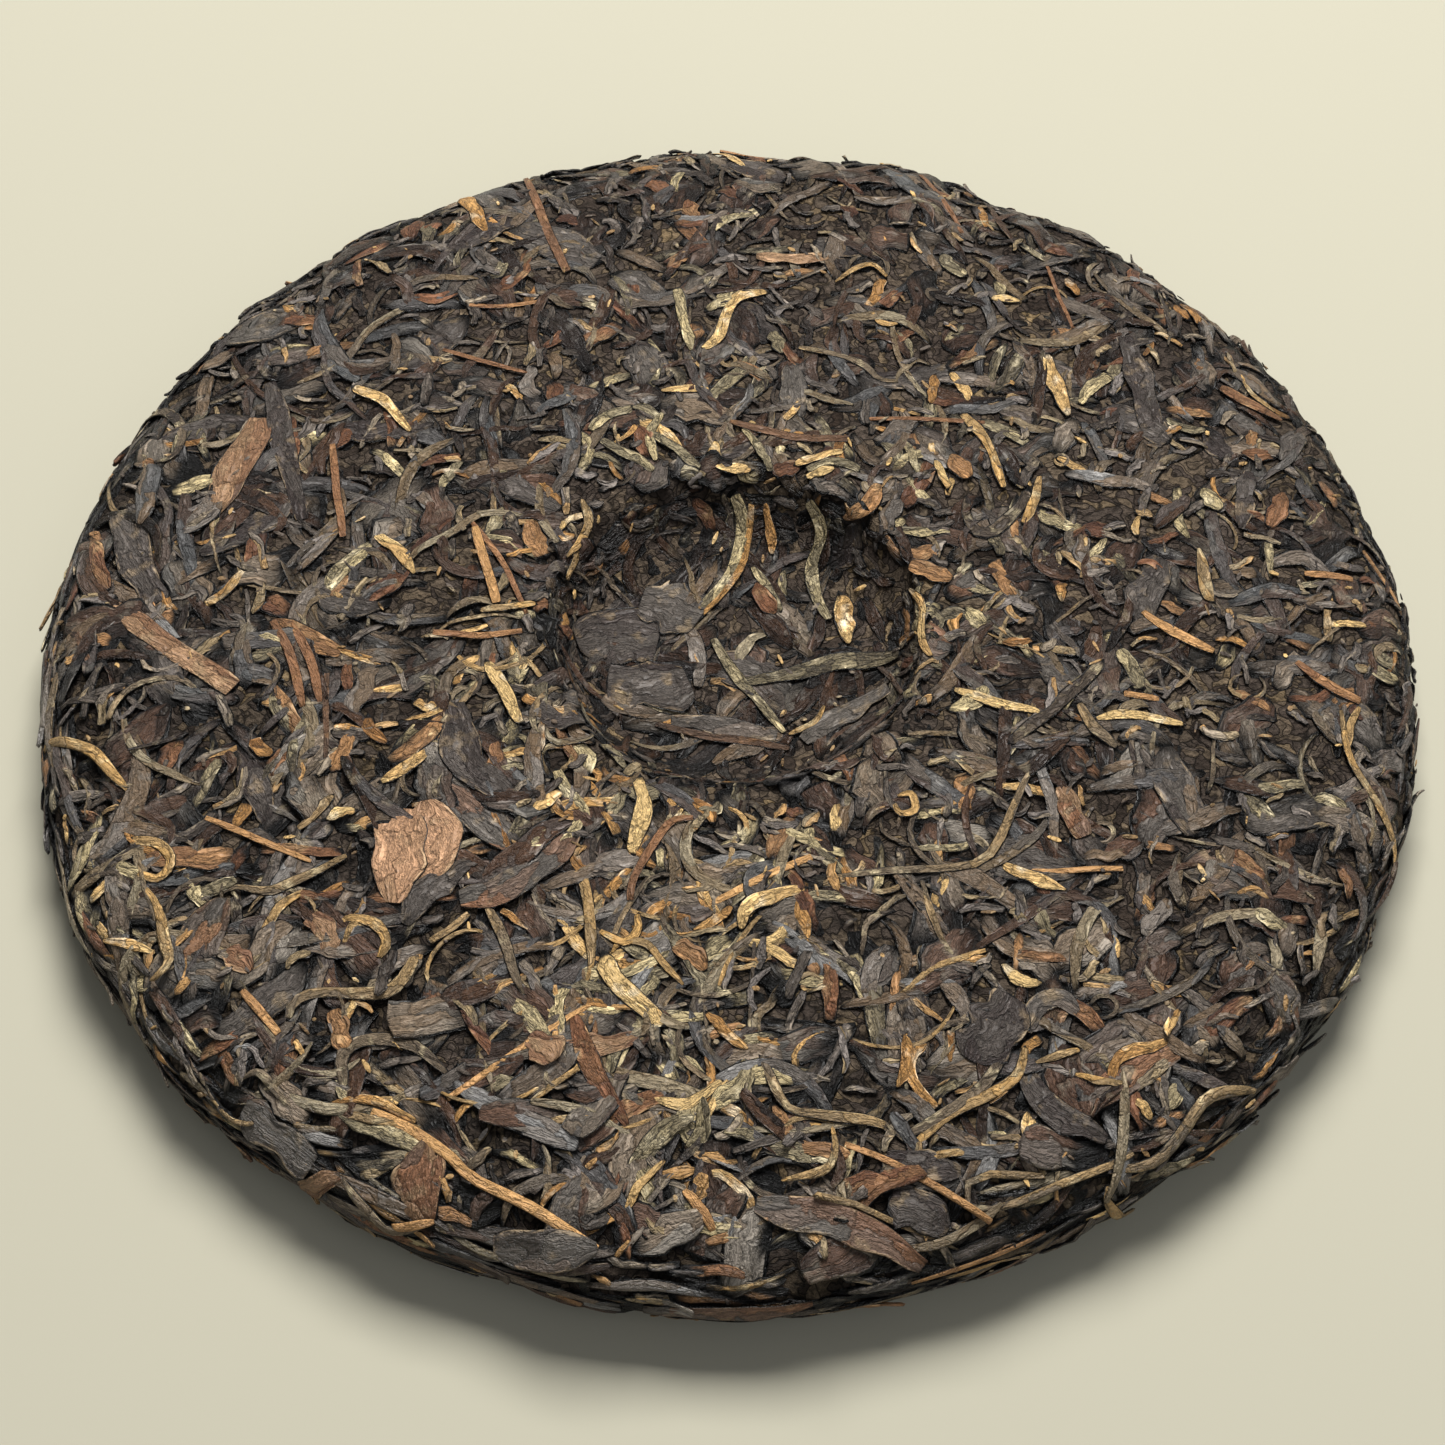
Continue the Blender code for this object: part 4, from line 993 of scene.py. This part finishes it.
# Crumbs of leaf on the skin: how many, their smallest and largest sizes, and how crooked they are
CRUMB_COUNT = 1100
CRUMB_SMALLEST = (0.0008, 0.00035, 0.0002)
CRUMB_LARGEST = (0.0026, 0.0009, 0.0004)
CRUMB_CROOKED, CROOK_SIZE = 0.0004, 0.0012


def crumb_tree():
    """Geometry nodes that strew a surface with crumbs, each with its own size, turn and tone."""
    tree = bpy.data.node_groups.new("strewn_crumbs", "GeometryNodeTree")
    for name, kind in (
        ("Geometry", "Geometry"), ("Density", "Float"), ("Smallest", "Vector"), ("Largest", "Vector"),
        ("Crooked", "Float"), ("Seed", "Int"), ("Material", "Material"),
    ):
        tree.interface.new_socket(name, in_out="INPUT", socket_type="NodeSocket" + kind)
    tree.interface.new_socket("Geometry", in_out="OUTPUT", socket_type="NodeSocketGeometry")
    given = node(tree, "NodeGroupInput", out=None)
    seed = {"Seed": given["Seed"]}
    spread = node(tree, "GeometryNodeDistributePointsOnFaces", {
        "Mesh": given["Geometry"], "Density": given["Density"], **seed,
    }, None)
    flake = node(tree, "GeometryNodeMeshIcoSphere", {"Radius": 0.5, "Subdivisions": 1}, "Mesh")
    size = node(tree, "FunctionNodeRandomValue", {0: given["Smallest"], 1: given["Largest"], **seed},
                data_type="FLOAT_VECTOR")
    angle = node(tree, "FunctionNodeRandomValue", {2: 0.0, 3: 2 * math.pi, **seed}, 1)
    spin = node(tree, "FunctionNodeAxisAngleToRotation", {"Axis": (0, 0, 1), "Angle": angle})
    turn = node(tree, "FunctionNodeRotateRotation", {0: spread["Rotation"], 1: spin},
                rotation_space="LOCAL")
    strewn = node(tree, "GeometryNodeInstanceOnPoints", {
        "Points": spread["Points"], "Instance": flake, "Rotation": turn, "Scale": size,
    })
    tone = node(tree, "FunctionNodeRandomValue", {2: 0.0, 3: 1.0}, 1)
    toned = node(tree, "GeometryNodeStoreNamedAttribute", {
        "Geometry": strewn, "Name": "tone", "Value": tone,
    }, data_type="FLOAT", domain="INSTANCE")
    real = node(tree, "GeometryNodeRealizeInstances", {"Geometry": toned})
    crooked = node(tree, "TexNoise", {"Scale": 1 / CROOK_SIZE}, "Color")
    offset = node(tree, "VectorMath", {0: crooked, 1: (0.5,) * 3}, operation="SUBTRACT")
    offset = node(tree, "VectorMath", {0: offset, "Scale": given["Crooked"]}, operation="SCALE")
    bent = node(tree, "GeometryNodeSetPosition", {"Geometry": real, "Offset": offset})
    dressed = node(tree, "GeometryNodeSetMaterial", {"Geometry": bent, "Material": given["Material"]})
    node(tree, "NodeGroupOutput", {"Geometry": dressed}, None)
    return tree


def crumb_mesh(place, material):
    """The crumbs as one mesh, with a bake cell for each of their faces."""
    ground = placed("crumb_ground", skin_mesh("crumb_ground", place, np.zeros(len(place))))
    area = sum(polygon.area for polygon in ground.data.polygons)
    strewing = ground.modifiers.new("crumbs", "NODES")
    strewing.node_group = crumb_tree()
    values = {
        "Density": CRUMB_COUNT / area, "Smallest": CRUMB_SMALLEST, "Largest": CRUMB_LARGEST,
        "Crooked": CRUMB_CROOKED, "Seed": SEED, "Material": material,
    }
    for socket in strewing.node_group.interface.items_tree:
        if socket.in_out == "INPUT" and socket.name in values:
            strewing[socket.identifier] = values[socket.name]
    evaluated = ground.evaluated_get(bpy.context.evaluated_depsgraph_get())
    mesh = bpy.data.meshes.new_from_object(evaluated)
    ground.modifiers.clear()
    bpy.data.objects.remove(ground)
    cells = np.arange(len(mesh.polygons))
    columns = math.ceil(math.sqrt(len(cells)))
    near, far = ATLAS_MARGIN, 1 - ATLAS_MARGIN
    corner = np.array(((near, near), (far, near), (near, far)))
    atlas = (np.stack([cells % columns, cells // columns], axis=1)[:, None] + corner) / columns
    mesh.uv_layers.new(name="OFBake").uv.foreach_set("vector", atlas.astype(np.float32).ravel())
    return mesh


def photo_camera():
    """The camera as it stood: its distance, angle and roll."""
    eye, right, up, back = camera_axes()
    lens = bpy.data.cameras.new("photo_camera")
    lens.sensor_width = SENSOR_WIDTH
    lens.lens = SENSOR_WIDTH * FOCAL_PIXELS / IMAGE_PIXELS
    lens.clip_start = 0.01
    camera = placed("photo_camera", lens)
    turn = Matrix((Vector(right), Vector(up), Vector(back))).transposed()
    camera.matrix_world = Matrix.Translation(Vector(eye)) @ turn.to_4x4()
    bpy.context.scene.camera = camera


def area_light(name, place, size, power, colour):
    """A soft square lamp, looking at the cake."""
    lamp = bpy.data.lights.new(name, "AREA")
    lamp.size, lamp.energy, lamp.color = size, power, linear(colour)[:3]
    holder = placed(name, lamp)
    holder.location = place
    holder.rotation_euler = (-Vector(place)).to_track_quat("-Z", "Y").to_euler()


# The floor, and the lamps: place in metres, size, power in watts and colour
FLOOR_HALF, FLOOR_HEIGHT = 8.0, -0.0002
FLOOR_COLOUR, FLOOR_ROUGHNESS = "#a09d8c", 0.9
LAMPS = {
    "window": ((0.09, 0.58, 1.03), 0.6, 29.6, "#fffdfb"),
    "fill": ((0.35, -0.75, 0.8), 1.0, 3.3, "#f2f5ff"),
}
WORLD_COLOUR, WORLD_STRENGTH = "#eff0f0", 0.19


def studio():
    """A plain pale floor, a soft window light from behind and above, and a weak even fill."""
    floor_mesh = bpy.data.meshes.new("floor")
    corners = ((-1, -1), (1, -1), (1, 1), (-1, 1))
    floor_mesh.from_pydata(
        [(x * FLOOR_HALF, y * FLOOR_HALF, FLOOR_HEIGHT) for x, y in corners], [], [(0, 1, 2, 3)],
    )
    floor = placed("floor", floor_mesh)
    material, tree, shader = new_material("plain_pale_floor")
    plug(tree, shader, {"Base Color": linear(FLOOR_COLOUR), "Roughness": FLOOR_ROUGHNESS})
    floor_mesh.materials.append(material)
    for name, facts in LAMPS.items():
        area_light(name, *facts)
    world = bpy.data.worlds.new("even_light")
    world.use_nodes = True
    background = world.node_tree.nodes["Background"]
    plug(world.node_tree, background, {"Color": linear(WORLD_COLOUR), "Strength": WORLD_STRENGTH})
    bpy.context.scene.world = world
    bpy.context.scene.view_settings.view_transform = "Standard"


def build():
    """Dress the cake."""
    # In the order of the kinds
    dressings = (
        pressed_fragment, charcoal_strip, folded_strip, brown_leaf, olive_leaf, leaf_shred, golden_bud,
        leaf_strand, tea_stem, broad_leaf,
    )
    place, outward = skin_grid()
    piece("packed_fines", core_mesh(place, outward), packed_fines())
    flecks = leaf_crumb()
    piece("leaf_crumbs", crumb_mesh(place, flecks), flecks)
    for index, (kind, dressing) in enumerate(zip(KINDS, dressings)):
        chance = np.random.default_rng(SEED + index)
        batches = [scattered(kind, chance)]
        if kind in STANDOUTS:
            batches.append(standouts(kind, chance))
        piece(kind, leaf_mesh(kind, batches), dressing())


build()
studio()
photo_camera()
